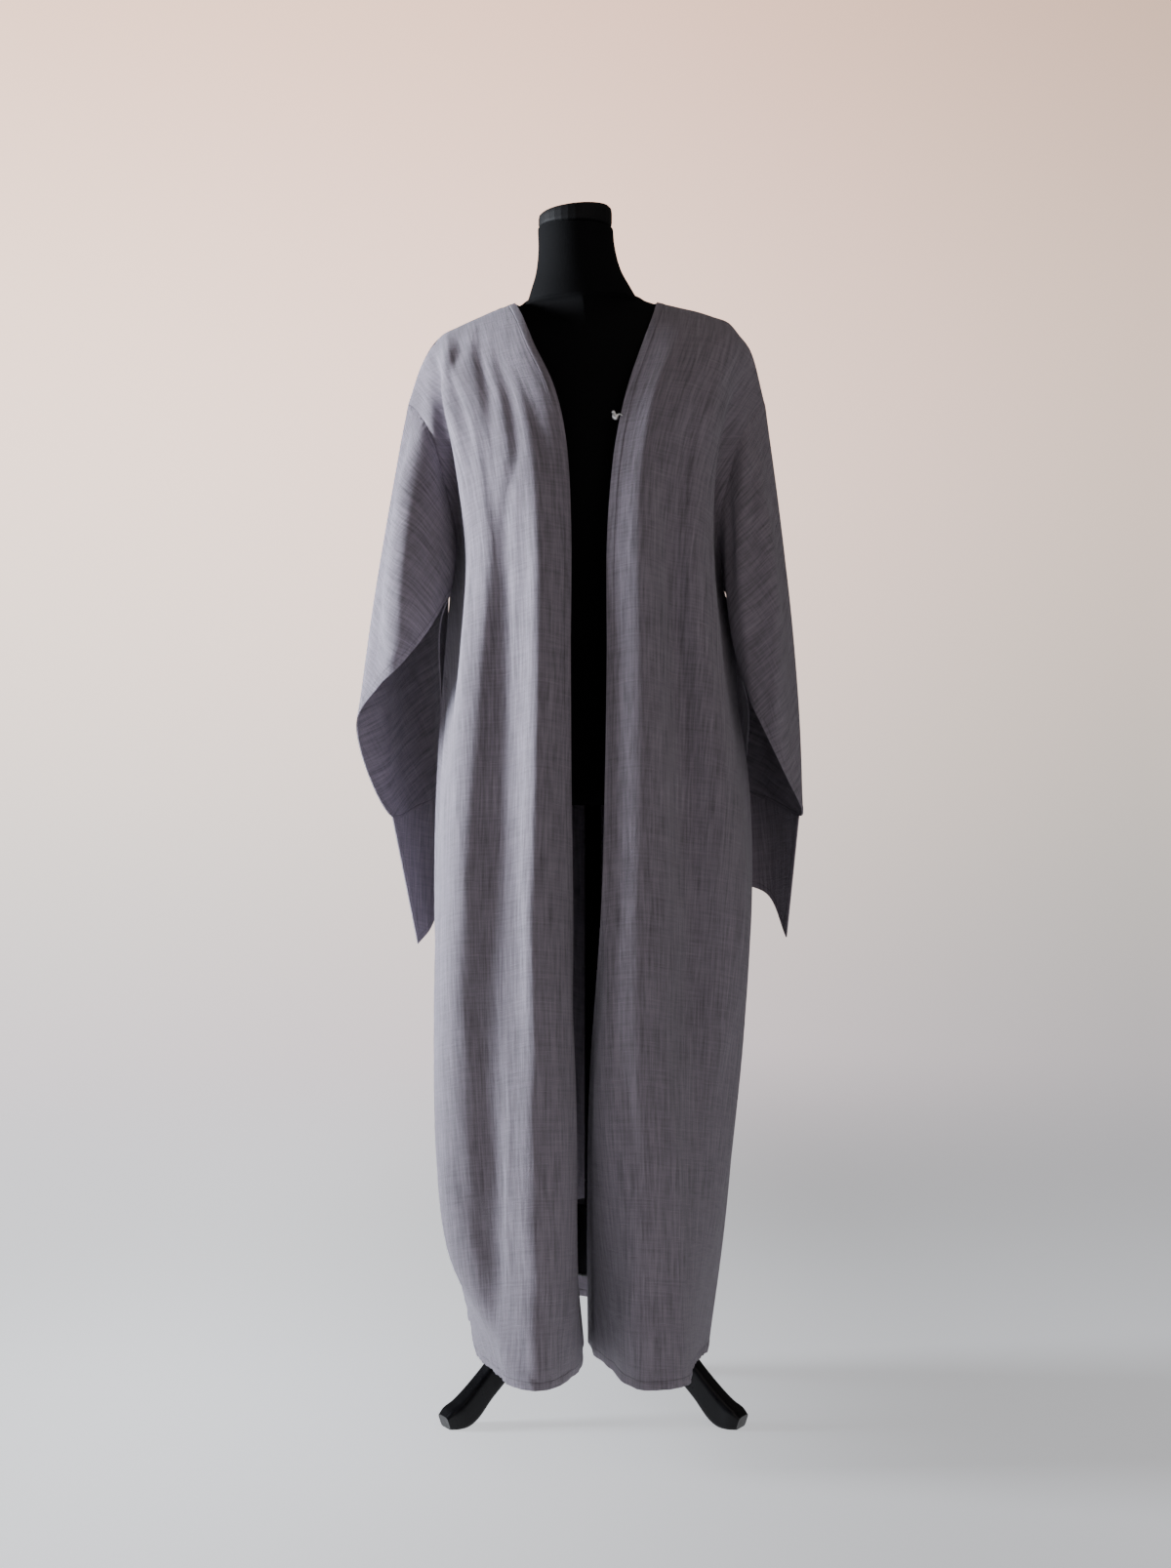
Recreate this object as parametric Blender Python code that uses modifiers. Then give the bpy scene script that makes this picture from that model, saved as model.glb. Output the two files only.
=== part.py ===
"""Abaya cloak on a limbless dress form with a tripod stand.

Metres, +Z up, the front towards -Y, the origin on the floor under the middle of the whole part. "Right" and "left"
are the wearer's, so the right front lies at -X. The tables give places from the body's own axis (X 0, Y 0), and an
empty carries every piece from there to the part's origin.
"""

import math
from collections import Counter, namedtuple

import bmesh
import bpy
import numpy as np
from mathutils import Matrix, Vector

# Driving dimensions.
BODY_PLACE = (0.008, 0.046, 0.0)  # the body's axis, seen from the part's origin
WALL = 0.0014  # the linen's wall, hems and pressed folds included
SEAM_GAP = 0.0003
LONGEST_MITRE = 2.0  # how far a wall may thicken on a sharp seam
ROW_STEPS = 2  # rows of faces between two sections
COLUMN_STEPS = 2  # faces between two named lines of a section
NECK_STEPS = 6  # faces across the back neck
SLEEVE_ROWS = 12
POINT_ROWS = 4

POLE_X = 0.0105  # the stand's pole, right of the body's axis
POLE_RADIUS = 0.012
FORM_BOTTOM = 0.842
HUB_BOTTOM, HUB_TOP, HUB_RADIUS = 0.185, 0.285, 0.031
TOUCH_GAP = 0.0003  # between pieces of the stand that bear on each other
LEG_TURNS_DEG = (-60.0, 60.0, 156.0)  # the legs' directions, from the front round to the left
FORM_SIDES = 36
FORM_TILT = 0.035  # the form leans a little to the right, so its left side stands higher
CAP_TILT_DEG = 6.5

LINEN = (0.23, 0.23, 0.25)
JERSEY = (0.012, 0.012, 0.014)
BLACK_WOOD = (0.015, 0.014, 0.014)
SILVER = (0.80, 0.80, 0.80)

# A front's sections, from the shoulder seam to the hem. The first two columns are the heights at the front edge
# and at the armhole or side seam. The others are plan points (x outwards from the middle, y) of its fold lines.
Front = namedtuple("Front", "edge_z seam_z edge curl crest slope valley ridge flank tuck seam")
RIGHT_FRONT = (
    Front(1.545, 1.405, (.099, .000), (.108, .000), (.134, .000), (.158, .000), (.180, .000),
          (.199, .000), (.214, .000), (.230, .000), (.248, .000)),
    Front(1.515, 1.386, (.088, -.045), (.098, -.047), (.128, -.050), (.152, -.048), (.173, -.043),
          (.195, -.040), (.211, -.033), (.222, -.022), (.231, -.020)),
    Front(1.465, 1.353, (.071, -.085), (.081, -.088), (.116, -.094), (.142, -.090), (.162, -.083),
          (.183, -.079), (.199, -.067), (.206, -.046), (.213, -.042)),
    Front(1.400, 1.303, (.044, -.120), (.054, -.124), (.092, -.131), (.122, -.125), (.146, -.116),
          (.164, -.110), (.185, -.094), (.188, -.056), (.199, -.050)),
    Front(1.320, 1.232, (.028, -.140), (.038, -.146), (.074, -.155), (.106, -.147), (.128, -.136),
          (.149, -.127), (.172, -.104), (.172, -.052), (.184, -.046)),
    Front(1.200, 1.150, (.020, -.162), (.031, -.168), (.066, -.178), (.089, -.164), (.109, -.151),
          (.132, -.145), (.159, -.114), (.164, -.056), (.189, .000)),
    Front(1.040, 1.040, (.020, -.182), (.032, -.190), (.064, -.203), (.087, -.186), (.107, -.170),
          (.142, -.166), (.166, -.142), (.170, -.070), (.198, .000)),
    Front(0.880, 0.880, (.019, -.202), (.031, -.211), (.066, -.227), (.088, -.209), (.110, -.194),
          (.152, -.189), (.184, -.158), (.188, -.085), (.207, -.020)),
    Front(0.700, 0.700, (.017, -.212), (.026, -.228), (.068, -.250), (.091, -.235), (.115, -.223),
          (.160, -.216), (.192, -.182), (.201, -.100), (.209, -.040)),
    Front(0.470, 0.470, (.018, -.200), (.0145, -.238), (.064, -.276), (.091, -.265), (.115, -.252),
          (.155, -.241), (.186, -.205), (.197, -.112), (.199, -.060)),
    Front(0.270, 0.270, (.015, -.160), (.0145, -.243), (.058, -.294), (.093, -.282), (.115, -.265),
          (.145, -.250), (.168, -.212), (.176, -.145), (.179, -.098)),
    Front(0.100, 0.120, (.003, -.050), (.0135, -.225), (.060, -.308), (.096, -.288), (.106, -.252),
          (.120, -.222), (.136, -.188), (.1455, -.152), (.151, -.120)),
)
LEFT_FRONT = (
    Front(1.546, 1.405, (.100, .000), (.109, .000), (.134, .000), (.158, .000), (.180, .000),
          (.199, .000), (.2145, .000), (.231, .000), (.251, .000)),
    Front(1.516, 1.386, (.092, -.045), (.101, -.047), (.130, -.050), (.155, -.048), (.178, -.044),
          (.199, -.040), (.215, -.032), (.227, -.021), (.236, -.020)),
    Front(1.465, 1.353, (.075, -.085), (.084, -.088), (.118, -.094), (.145, -.091), (.168, -.086),
          (.186, -.077), (.200, -.066), (.206, -.046), (.216, -.042)),
    Front(1.400, 1.303, (.055, -.122), (.065, -.126), (.096, -.131), (.126, -.126), (.150, -.117),
          (.168, -.110), (.186, -.093), (.188, -.056), (.201, -.050)),
    Front(1.320, 1.232, (.039, -.147), (.049, -.150), (.076, -.155), (.105, -.148), (.130, -.137),
          (.152, -.131), (.175, -.110), (.173, -.058), (.185, -.050)),
    Front(1.200, 1.150, (.029, -.170), (.039, -.174), (.068, -.180), (.096, -.170), (.118, -.155),
          (.146, -.150), (.173, -.120), (.173, -.062), (.192, .000)),
    Front(1.040, 1.040, (.0285, -.188), (.039, -.193), (.068, -.200), (.096, -.189), (.121, -.169),
          (.150, -.164), (.182, -.136), (.187, -.070), (.203, .000)),
    Front(0.880, 0.880, (.026, -.210), (.036, -.216), (.067, -.223), (.098, -.213), (.132, -.188),
          (.164, -.182), (.200, -.155), (.208, -.085), (.227, -.020)),
    Front(0.700, 0.700, (.0205, -.229), (.031, -.236), (.066, -.245), (.101, -.235), (.140, -.206),
          (.176, -.198), (.213, -.168), (.223, -.103), (.230, -.040)),
    Front(0.470, 0.470, (.006, -.170), (.025, -.243), (.068, -.270), (.105, -.257), (.142, -.221),
          (.173, -.206), (.198, -.172), (.207, -.118), (.209, -.070)),
    Front(0.270, 0.270, (.003, -.120), (.026, -.217), (.069, -.282), (.109, -.271), (.136, -.242),
          (.154, -.212), (.173, -.175), (.183, -.134), (.189, -.096)),
    Front(0.100, 0.100, (.004, -.050), (.032, -.185), (.071, -.295), (.118, -.285), (.137, -.242),
          (.139, -.196), (.149, -.148), (.158, -.120), (.166, -.098)),
)
# How far down from the front edge's height to the seam's each fold line lies, as a share.
RIGHT_FALL = (0, .025, .10, .171, .243, .31, .414, .62, 1)
LEFT_FALL = (0, .015, .057, .096, .149, .20, .319, .475, 1)
UNDERARM = 5  # the section that the armhole ends at

# The back's sections, one for each of a front's: the height at the centre, and plan points of one half.
Back = namedtuple("Back", "z side middle centre_y")
BACK = (
    Back(1.540, (.196, .000), (.125, .000), .082),
    Back(1.500, (.203, .038), (.128, .064), .104),
    Back(1.450, (.190, .068), (.120, .101), .120),
    Back(1.390, (.172, .084), (.111, .118), .131),
    Back(1.310, (.153, .094), (.102, .127), .138),
    Back(1.200, (.150, .092), (.100, .132), .143),
    Back(1.040, (.166, .090), (.108, .140), .151),
    Back(0.880, (.184, .085), (.122, .152), .164),
    Back(0.700, (.196, .080), (.130, .162), .176),
    Back(0.470, (.194, .082), (.133, .172), .190),
    Back(0.270, (.178, .088), (.125, .180), .202),
    Back(0.100, (.159, .085), (.108, .184), .212),
)
SIDE_FALL, MIDDLE_FALL = .27, .05  # how far down to the seam's height these lines lie, as a share
# The back's folds: place from the right seam (-1) to the left (1), width, and depth outwards at the hem.
Fold = namedtuple("Fold", "place width depth")
BACK_FOLDS = (
    Fold(-.66, .10, .014), Fold(-.40, .12, -.020), Fold(-.12, .13, .022), Fold(.16, .11, -.018),
    Fold(.43, .13, .024), Fold(.68, .09, -.012),
)
FOLDS_START_Z = 1.30
SHOULDER_FADE = 4.0  # how fast the shoulder seam's shape fades down the back

# A sleeve's mouth, from the outer fold round the front to the underarm line and back: x outwards, y, z, how far
# the cloth swells outwards halfway down from the armhole, and how soon it travels outwards (1 is evenly, less is
# sooner).
Mouth = namedtuple("Mouth", "x y z swell lead")
RIGHT_MOUTH = (
    Mouth(.318, -.030, .954, .003, 1.0),  # outer fold
    Mouth(.285, -.060, 1.005, .020, 1.0),
    Mouth(.252, -.078, 1.036, .034, 1.0),  # middle of the front
    Mouth(.215, -.080, 1.082, .026, .9),
    Mouth(.187, -.058, 1.134, .006, 1.0),
    Mouth(.204, -.004, 1.092, .0, .7),  # underarm line
    Mouth(.206, .056, .955, .0, .5),
    Mouth(.2135, .086, .853, .008, .8),  # the joined point starts here
    Mouth(.242, .080, .836, .028, 1.0),
    Mouth(.274, .036, .824, .022, 1.0),  # and ends here
)
LEFT_MOUTH = (
    Mouth(.3015, -.026, .836, .008, 1.0),
    Mouth(.280, -.052, .875, .020, 1.0),
    Mouth(.252, -.072, .930, .034, 1.0),
    Mouth(.230, -.078, .976, .026, 1.0),
    Mouth(.2175, -.054, 1.014, .006, 0.7),
    Mouth(.229, .003, .975, .0, .7),
    Mouth(.231, .058, .918, .0, .5),
    Mouth(.2275, .090, .864, .008, .8),
    Mouth(.264, .074, .846, .028, 1.0),
    Mouth(.3005, .012, .826, .022, 1.0),
)
POINT_FIRST, POINT_LAST = 7, 9  # the mouth's lines that the joined point hangs from
# The lower edge of each sleeve's joined point, under those lines.
RIGHT_POINT = ((.212, .088, .690), (.224, .083, .662), (.2404, .066, .642))
LEFT_POINT = ((.222, .092, .728), (.262, .076, .712), (.2857, .042, .653))

NECKLINE = ((-.076, .052, 1.546), (.0, .082, 1.540), (.077, .052, 1.547))

# The dress form, from the waist's lower end to the top of the neck: height, middle, half width, half depth, and
# the power of its superellipse (2 is an ellipse, less is more pointed).
Ring = namedtuple("Ring", "z x y half_width half_depth power")
FORM = (
    Ring(0.842, .002, .006, .140, .098, 2.1),
    Ring(0.850, .002, .006, .150, .108, 2.1),
    Ring(0.900, .001, .006, .160, .116, 2.1),
    Ring(0.970, .000, .004, .155, .112, 2.1),
    Ring(1.080, .000, -.002, .122, .094, 2.1),
    Ring(1.170, .000, -.006, .133, .102, 2.1),
    Ring(1.270, .000, -.008, .148, .118, 2.1),
    Ring(1.340, .000, -.004, .158, .116, 2.1),
    Ring(1.400, -.001, .002, .178, .108, 2.0),
    Ring(1.440, -.001, .005, .190, .100, 1.9),
    Ring(1.470, -.001, .006, .197, .088, 1.75),
    Ring(1.490, -.001, .006, .199, .076, 1.5),
    Ring(1.505, -.001, .004, .195, .065, 1.3),
    Ring(1.514, -.001, .000, .178, .057, 1.15),
    Ring(1.523, -.002, -.0005, .154, .054, 1.1),
    Ring(1.531, -.002, -.001, .127, .054, 1.1),
    Ring(1.539, -.003, -.0005, .1055, .055, 1.15),
    Ring(1.549, -.004, -.001, .082, .057, 1.6),
    Ring(1.566, -.007, .001, .0695, .0590, 2.0),
    Ring(1.590, -.010, .000, .0595, .0580, 2.0),
    Ring(1.622, -.0125, .000, .0537, .0560, 2.0),
    Ring(1.6485, -.0142, .000, .0527, .0550, 2.0),
)
CAP_CENTRE = (-.0144, .0, 1.6490)
CAP_HEIGHT, CAP_RADIUS, CAP_ROUND = .0260, .0515, .008

# A leg's centre line: distance out from the pole, height, half its height and half its width.
Leg = namedtuple("Leg", "out z half_height half_width")
LEG = (
    Leg(.0315, .260, .022, .012), Leg(.050, .234, .021, .012), Leg(.078, .184, .0195, .012),
    Leg(.108, .128, .0185, .0125), Leg(.142, .080, .018, .013), Leg(.176, .045, .017, .0145),
    Leg(.204, .0185, .0185, .0165), Leg(.222, .0120, .0150, .0175), Leg(.2325, .0085, .0095, .0145),
)

# The hook on the left front's edge, along its bent wire: distance past the edge towards the middle, height above
# HOOK_Z and radius. It starts on the cloth, swells to a bead and ends in a turned-over tip.
HOOK_Z = 1.3660
HOOK_SIDES = 8
Wire = namedtuple("Wire", "past up radius")
HOOK = (
    Wire(-.0032, -.0004, .00045), Wire(-.0026, .0001, .0007), Wire(-.0006, .0014, .0007),
    Wire(.0014, .0018, .0008), Wire(.0032, .0008, .0013), Wire(.0050, -.0010, .0024),
    Wire(.0064, -.0022, .0032), Wire(.0077, -.0008, .0029), Wire(.0083, .0018, .0021),
    Wire(.0087, .0042, .0014), Wire(.0095, .0057, .0012), Wire(.0108, .0052, .0010),
    Wire(.0115, .0038, .0006),
)


def clear_scene():
    for thing in list(bpy.data.objects):
        bpy.data.objects.remove(thing, do_unlink=True)


def material(name, colour, roughness, metallic=0.0):
    made = bpy.data.materials.get(name) or bpy.data.materials.new(name)
    made.use_nodes = True
    shader = made.node_tree.nodes["Principled BSDF"]
    shader.inputs["Base Color"].default_value = (*colour, 1.0)
    shader.inputs["Roughness"].default_value = roughness
    shader.inputs["Metallic"].default_value = metallic
    return made


def smooth(points, at, level_start=False):
    """The smooth curve through points (its first axis), at fractional indices; level_start leaves it along Y."""
    p = np.asarray(points, float)
    step = np.sqrt(np.linalg.norm(np.diff(p, axis=0), axis=-1, keepdims=True)) + 1e-6
    slope = np.diff(p, axis=0) / step
    tangent = np.concatenate([slope[:1], slope])
    tangent[1:-1] = (slope[:-1] * step[1:] + slope[1:] * step[:-1]) / (step[1:] + step[:-1])
    if level_start:
        tangent[0] *= np.array((0.0, 1.0, 0.0))
    i = np.minimum(np.asarray(at).astype(int), len(p) - 2)
    f = (np.asarray(at) - i).reshape((-1,) + (1,) * (p.ndim - 1))
    h = step[i]
    return (
        p[i] * (2 * f**3 - 3 * f**2 + 1)
        + tangent[i] * h * (f**3 - 2 * f**2 + f)
        + p[i + 1] * (3 * f**2 - 2 * f**3)
        + tangent[i + 1] * h * (f**3 - f**2)
    )


def smooth_loop(points, steps):
    """The smooth closed curve through points, with so many steps between two of them."""
    p = np.asarray(points, float)
    padded = np.concatenate([p[-2:], p, p[:3]])
    return smooth(padded, 2 + np.arange(len(p) * steps) / steps)


def row_places():
    return np.arange((len(BACK) - 1) * ROW_STEPS + 1) / ROW_STEPS


def front_grid(table, fall, side):
    """A front's points, rows downwards, columns from the front edge to the seam; side is -1 for the right one."""
    lines = np.array([
        [
            (side * x, y, row.edge_z + (row.seam_z - row.edge_z) * share)
            for (x, y), share in zip(row[2:], fall)
        ]
        for row in table
    ])
    rows = smooth(lines, row_places(), level_start=True)
    columns = np.arange(8 * COLUMN_STEPS + 1) / COLUMN_STEPS
    return smooth(rows.transpose(1, 0, 2), columns).transpose(1, 0, 2)


def mirrored_armhole(front_seam):
    """The back's armhole and side seam: the front's, with the armhole's curve behind instead of before."""
    seam = front_seam.copy()
    seam[: UNDERARM * ROW_STEPS, 1] *= -1
    return seam


def back_grid(right, left):
    """The back's points, rows downwards, columns from the right seam round to the left one."""
    half = 8 * COLUMN_STEPS
    count = 2 * half + NECK_STEPS
    middle = smooth(
        np.array([
            [(-r.side[0], r.side[1], r.z), (-r.middle[0], r.middle[1], r.z), (0, r.centre_y, r.z),
             (r.middle[0], r.middle[1], r.z), (r.side[0], r.side[1], r.z)]
            for r in BACK
        ]),
        row_places(),
    )
    right_seam, left_seam = mirrored_armhole(right[:, -1]), mirrored_armhole(left[:, -1])
    grid = []
    for points, first, last in zip(middle, right_seam, left_seam):
        points = points.copy()
        for k, share in ((0, SIDE_FALL), (1, MIDDLE_FALL), (3, MIDDLE_FALL), (4, SIDE_FALL)):
            points[k, 2] += ((first if k < 2 else last)[2] - points[k, 2]) * share
        grid.append(smooth([first, *points, last], np.linspace(0, 6, count + 1)))
    grid = np.array(grid)
    place = np.linspace(-1, 1, count + 1)
    for row in grid:
        out = row - (0, -.03, 0)
        out[:, 2] = 0
        out /= np.linalg.norm(out, axis=1, keepdims=True)
        grown = max(0.0, (FOLDS_START_Z - row[half, 2]) / FOLDS_START_Z) ** 1.3
        swell = sum(f.depth * np.exp(-(((place - f.place) / f.width) ** 2)) for f in BACK_FOLDS)
        row += out * (swell * grown * np.clip((1 - np.abs(place)) * 8, 0, 1))[:, None]
    neck = smooth([right[0, 0], *NECKLINE, left[0, 0]], np.linspace(0, 4, NECK_STEPS + 1))
    top = np.concatenate([right[0, ::-1], neck[1:-1], left[0]])
    fade = np.clip(1 - np.arange(len(grid)) / (UNDERARM * ROW_STEPS), 0, 1) ** SHOULDER_FADE
    return grid + (top - grid[0]) * fade[:, None, None]


def sleeve_grid(front, back_seam, table, side):
    """A sleeve's points, rows downwards, columns round it from the outer fold over the front."""
    under = UNDERARM * ROW_STEPS
    armhole = np.concatenate([front[:under, -1], back_seam[under:0:-1]])
    mouth = smooth_loop([(side * m.x, m.y, m.z) for m in table], 2 * under // len(table))
    swell, lead, _ = smooth_loop([(m.swell, m.lead, 0) for m in table], 2 * under // len(table)).T
    down = np.linspace(0, 1, SLEEVE_ROWS + 1)[:, None, None]
    grid = armhole * (1 - down) + mouth * down
    grid[:, :, 0] = armhole[:, 0] + (mouth - armhole)[:, 0] * down[:, :, 0] ** lead
    ahead, behind = np.roll(grid, -1, 1), np.roll(grid, 1, 1)
    out = np.cross(ahead - behind, mouth - armhole)
    out *= side / np.linalg.norm(out, axis=2, keepdims=True)
    return grid + out * swell[:, None] * np.sin(math.pi * down) ** .8


def point_grid(sleeve, lower_edge, side):
    """A sleeve's joined point: from the mouth's back edge down to its own lower edge."""
    steps = sleeve.shape[1] // 10
    top = sleeve[-1, POINT_FIRST * steps : POINT_LAST * steps + 1]
    low = smooth([(side * x, y, z) for x, y, z in lower_edge], np.arange(len(top)) / steps)
    down = np.linspace(0, 1, POINT_ROWS + 1)[:, None, None]
    return top * (1 - down) + low * down


def cloak_grids():
    right = front_grid(RIGHT_FRONT, RIGHT_FALL, -1)
    left = front_grid(LEFT_FRONT, LEFT_FALL, 1)
    back = back_grid(right, left)
    right_sleeve = sleeve_grid(right, back[:, 0], RIGHT_MOUTH, -1)
    left_sleeve = sleeve_grid(left, back[:, -1], LEFT_MOUTH, 1)
    # Each grid's columns run so that the outside is on the same side of all of them.
    return {
        "front_right": right,
        "front_left": left[:, ::-1],
        "back": back,
        "sleeve_right": right_sleeve[:, ::-1],
        "sleeve_left": left_sleeve,
        "sleeve_point_right": point_grid(right_sleeve, RIGHT_POINT, -1)[:, ::-1],
        "sleeve_point_left": point_grid(left_sleeve, LEFT_POINT, 1),
    }


def is_tube(name):
    return name in ("sleeve_right", "sleeve_left")


def faces_of(grid, tube):
    rows, columns = grid.shape[:2]
    round_it = columns if tube else columns - 1
    for i in range(rows - 1):
        for j in range(round_it):
            k = (j + 1) % columns
            yield i * columns + j, i * columns + k, (i + 1) * columns + k, (i + 1) * columns + j


def unit_of(vectors):
    return vectors / np.maximum(np.linalg.norm(vectors, axis=-1, keepdims=True), 1e-12)


def sewn_normals(grids):
    """Each grid's outward normals on the whole sewn cloak, with the mitre, and which of its points are sewn."""
    keys = {n: [tuple(p) for p in np.round(g.reshape(-1, 3), 5)] for n, g in grids.items()}
    total, faces = {}, {}
    for name, grid in grids.items():
        group = name.split("_")[0] == "sleeve"  # at an armhole the body and the sleeve count alike
        points = grid.reshape(-1, 3)
        for face in faces_of(grid, is_tube(name)):
            corners = points[list(face)]
            normal = unit_of(np.cross(corners[1] - corners[3], corners[2] - corners[0]))
            ahead = np.roll(corners, -1, 0) - corners
            behind = np.roll(corners, 1, 0) - corners
            lengths = np.linalg.norm(ahead, axis=1) * np.linalg.norm(behind, axis=1)
            angles = np.arccos(np.clip((ahead * behind).sum(axis=1) / lengths, -1, 1))
            for corner, angle in zip(face, angles):
                key = keys[name][corner]
                sums = total.setdefault(key, {})
                sums[group] = sums.get(group, 0) + normal * angle
                faces.setdefault(key, []).append(normal)
    shared = Counter(key for names in keys.values() for key in set(names))
    normals, sewn = {}, {}
    for name, grid in grids.items():
        made = []
        for key in keys[name]:
            unit = unit_of(sum(unit_of(normal) for normal in total[key].values()))
            facing = np.mean([max(unit @ f, 0.0) for f in faces[key]])
            made.append(unit / max(facing, 1 / LONGEST_MITRE))
        normals[name] = np.array(made).reshape(grid.shape)
        sewn[name] = np.array([shared[key] > 1 for key in keys[name]]).reshape(grid.shape[:2])
    return normals, sewn


def seam_shift(grid, normals, sewn, tube):
    """How far each sewn point moves into its own piece, so that two sewn pieces stand SEAM_GAP apart."""
    shift = np.zeros_like(grid)
    sides = [(0, slice(None), 1, slice(None)), (-1, slice(None), -2, slice(None))]
    if not tube:
        sides += [(slice(None), 0, slice(None), 1), (slice(None), -1, slice(None), -2)]
    for row, column, next_row, next_column in sides:
        line, inner = grid[row, column], grid[next_row, next_column]
        if tube:
            along = np.roll(line, -1, 0) - np.roll(line, 1, 0)
        else:
            along = np.gradient(line, axis=0)
        across = unit_of(np.cross(normals[row, column], along))
        across *= np.sign((across * (inner - line)).sum(axis=1, keepdims=True))
        shift[row, column] += across * sewn[row, column][:, None] * SEAM_GAP / 2
    return shift


def halves_of(points, a, b, c, d):
    """A quad's two triangles, cut along its shorter diagonal."""
    if np.linalg.norm(points[a] - points[c]) < np.linalg.norm(points[b] - points[d]):
        return (a, b, c), (a, c, d)
    return (a, b, d), (b, c, d)


def cloth_wall(name, grid, normals, tube, collection, look):
    """One closed wall of cloth on a grid of points: an outer sheet, an inner sheet and the cut edges."""
    middle = grid.reshape(-1, 3)
    half_wall = normals.reshape(-1, 3) * WALL / 2
    sheets = np.concatenate([middle + half_wall, middle - half_wall])
    count = len(middle)
    mesh = bmesh.new()
    verts = [mesh.verts.new(p) for p in sheets]
    used = set()
    for a, b, c, d in faces_of(grid, tube):
        # Both sheets are cut along the same diagonal, so the wall keeps its thickness where it twists.
        for half in halves_of(middle, a, b, c, d):
            mesh.faces.new([verts[i] for i in half])
            mesh.faces.new([verts[i + count] for i in half[::-1]])
        used.update(((a, b), (b, c), (c, d), (d, a)))
    for a, b in sorted(used):
        if (b, a) not in used:
            for half in halves_of(sheets, a, b, b + count, a + count):
                mesh.faces.new([verts[i] for i in half])
    finish_mesh(mesh, name, collection, look)


def finish_mesh(mesh, name, collection, look, smooth_under=40):
    bmesh.ops.recalc_face_normals(mesh, faces=mesh.faces)
    data = bpy.data.meshes.new(name)
    mesh.to_mesh(data)
    mesh.free()
    data.shade_smooth()
    data.set_sharp_from_angle(angle=math.radians(smooth_under))
    return add_object(name, data, collection, look)


def add_object(name, data, collection, look):
    made = bpy.data.objects.new(name, data)
    made.data.materials.clear()
    made.data.materials.append(look)
    made.parent = bpy.data.objects["body_axis"]
    collection.objects.link(made)
    return made


def cloak(collection):
    look = material("slub_linen", LINEN, 0.85)
    grids = cloak_grids()
    normals, sewn = sewn_normals(grids)
    for name, grid in grids.items():
        tube = is_tube(name)
        placed = grid + seam_shift(grid, normals[name], sewn[name], tube)
        cloth_wall(name, placed, normals[name], tube, collection, look)
    hook(grids["front_left"][:, -1], normals["front_left"][:, -1], collection)


def hook(edge, normals, collection):
    """The small bent hook that lies on the front edge and stands out past it, towards the middle."""
    below = int(np.argmax(edge[:, 2] < HOOK_Z))
    share = (edge[below - 1, 2] - HOOK_Z) / (edge[below - 1, 2] - edge[below, 2])
    place = edge[below - 1] * (1 - share) + edge[below] * share
    out = unit_of(normals[below] * (1, 1, 0))
    past = np.cross((0, 0, 1), -out)
    line = np.array([past * w.past + np.array((0, 0, w.up)) for w in HOOK])
    line += place + out * (WALL / 2 + HOOK[1].radius + TOUCH_GAP)
    along = unit_of(np.gradient(line, axis=0))
    turns = 2 * math.pi * np.arange(HOOK_SIDES) / HOOK_SIDES
    rings = [
        [centre + w.radius * (out * math.cos(t) + np.cross(run, out) * math.sin(t)) for t in turns]
        for w, centre, run in zip(HOOK, line, along)
    ]
    loft("hook", rings, collection, material("silver_metal", SILVER, 0.18, 1.0), 20)


def loft(name, rings, collection, look, smooth_under=40):
    """A closed solid through rings of the same number of points, with flat ends."""
    mesh = bmesh.new()
    loops = [[mesh.verts.new(p) for p in ring] for ring in rings]
    for low, high in zip(loops, loops[1:]):
        for k in range(len(low)):
            n = (k + 1) % len(low)
            mesh.faces.new((low[k], low[n], high[n], high[k]))
    mesh.faces.new(loops[0][::-1])
    mesh.faces.new(loops[-1])
    return finish_mesh(mesh, name, collection, look, smooth_under)


def power_of(value, power):
    return math.copysign(abs(value) ** power, value)


def form_torso(collection):
    rings = []
    for r in FORM:
        turns = [2 * math.pi * k / FORM_SIDES for k in range(FORM_SIDES)]
        rings.append([
            (
                r.x + r.half_width * power_of(math.cos(t), 2 / r.power),
                r.y + r.half_depth * power_of(math.sin(t), 2 / r.power),
                r.z + (r.half_width * math.cos(t) * FORM_TILT if r not in (FORM[0], FORM[-1]) else 0),
            )
            for t in turns
        ])
    loft("form_torso", rings, collection, material("black_jersey", JERSEY, 0.95))


def neck_cap(collection):
    """The neck's flat padded cap, with rounded rims, tilted as it sits."""
    bpy.ops.mesh.primitive_cylinder_add(vertices=32, radius=CAP_RADIUS, depth=CAP_HEIGHT)
    cap = bpy.context.object
    mesh = bmesh.new()
    mesh.from_mesh(cap.data)
    bpy.data.objects.remove(cap)
    rim = [e for e in mesh.edges if abs(e.verts[0].co.z - e.verts[1].co.z) < 1e-6]
    bmesh.ops.bevel(mesh, geom=rim, offset=CAP_ROUND, segments=3, affect="EDGES", profile=0.6)
    tilt = Matrix.Rotation(math.radians(-CAP_TILT_DEG), 4, "Y")
    for vertex in mesh.verts:
        share = (vertex.co.z + CAP_HEIGHT / 2) / CAP_HEIGHT
        vertex.co.z += CAP_HEIGHT / 2
        raised = tilt @ Vector((vertex.co.x, vertex.co.y * 1.04, 0))
        vertex.co = Vector(CAP_CENTRE) + Vector((vertex.co.x, vertex.co.y * 1.04, vertex.co.z + raised.z * share))
    finish_mesh(mesh, "neck_cap", collection, material("black_cap", JERSEY, 0.6), 30)


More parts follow.
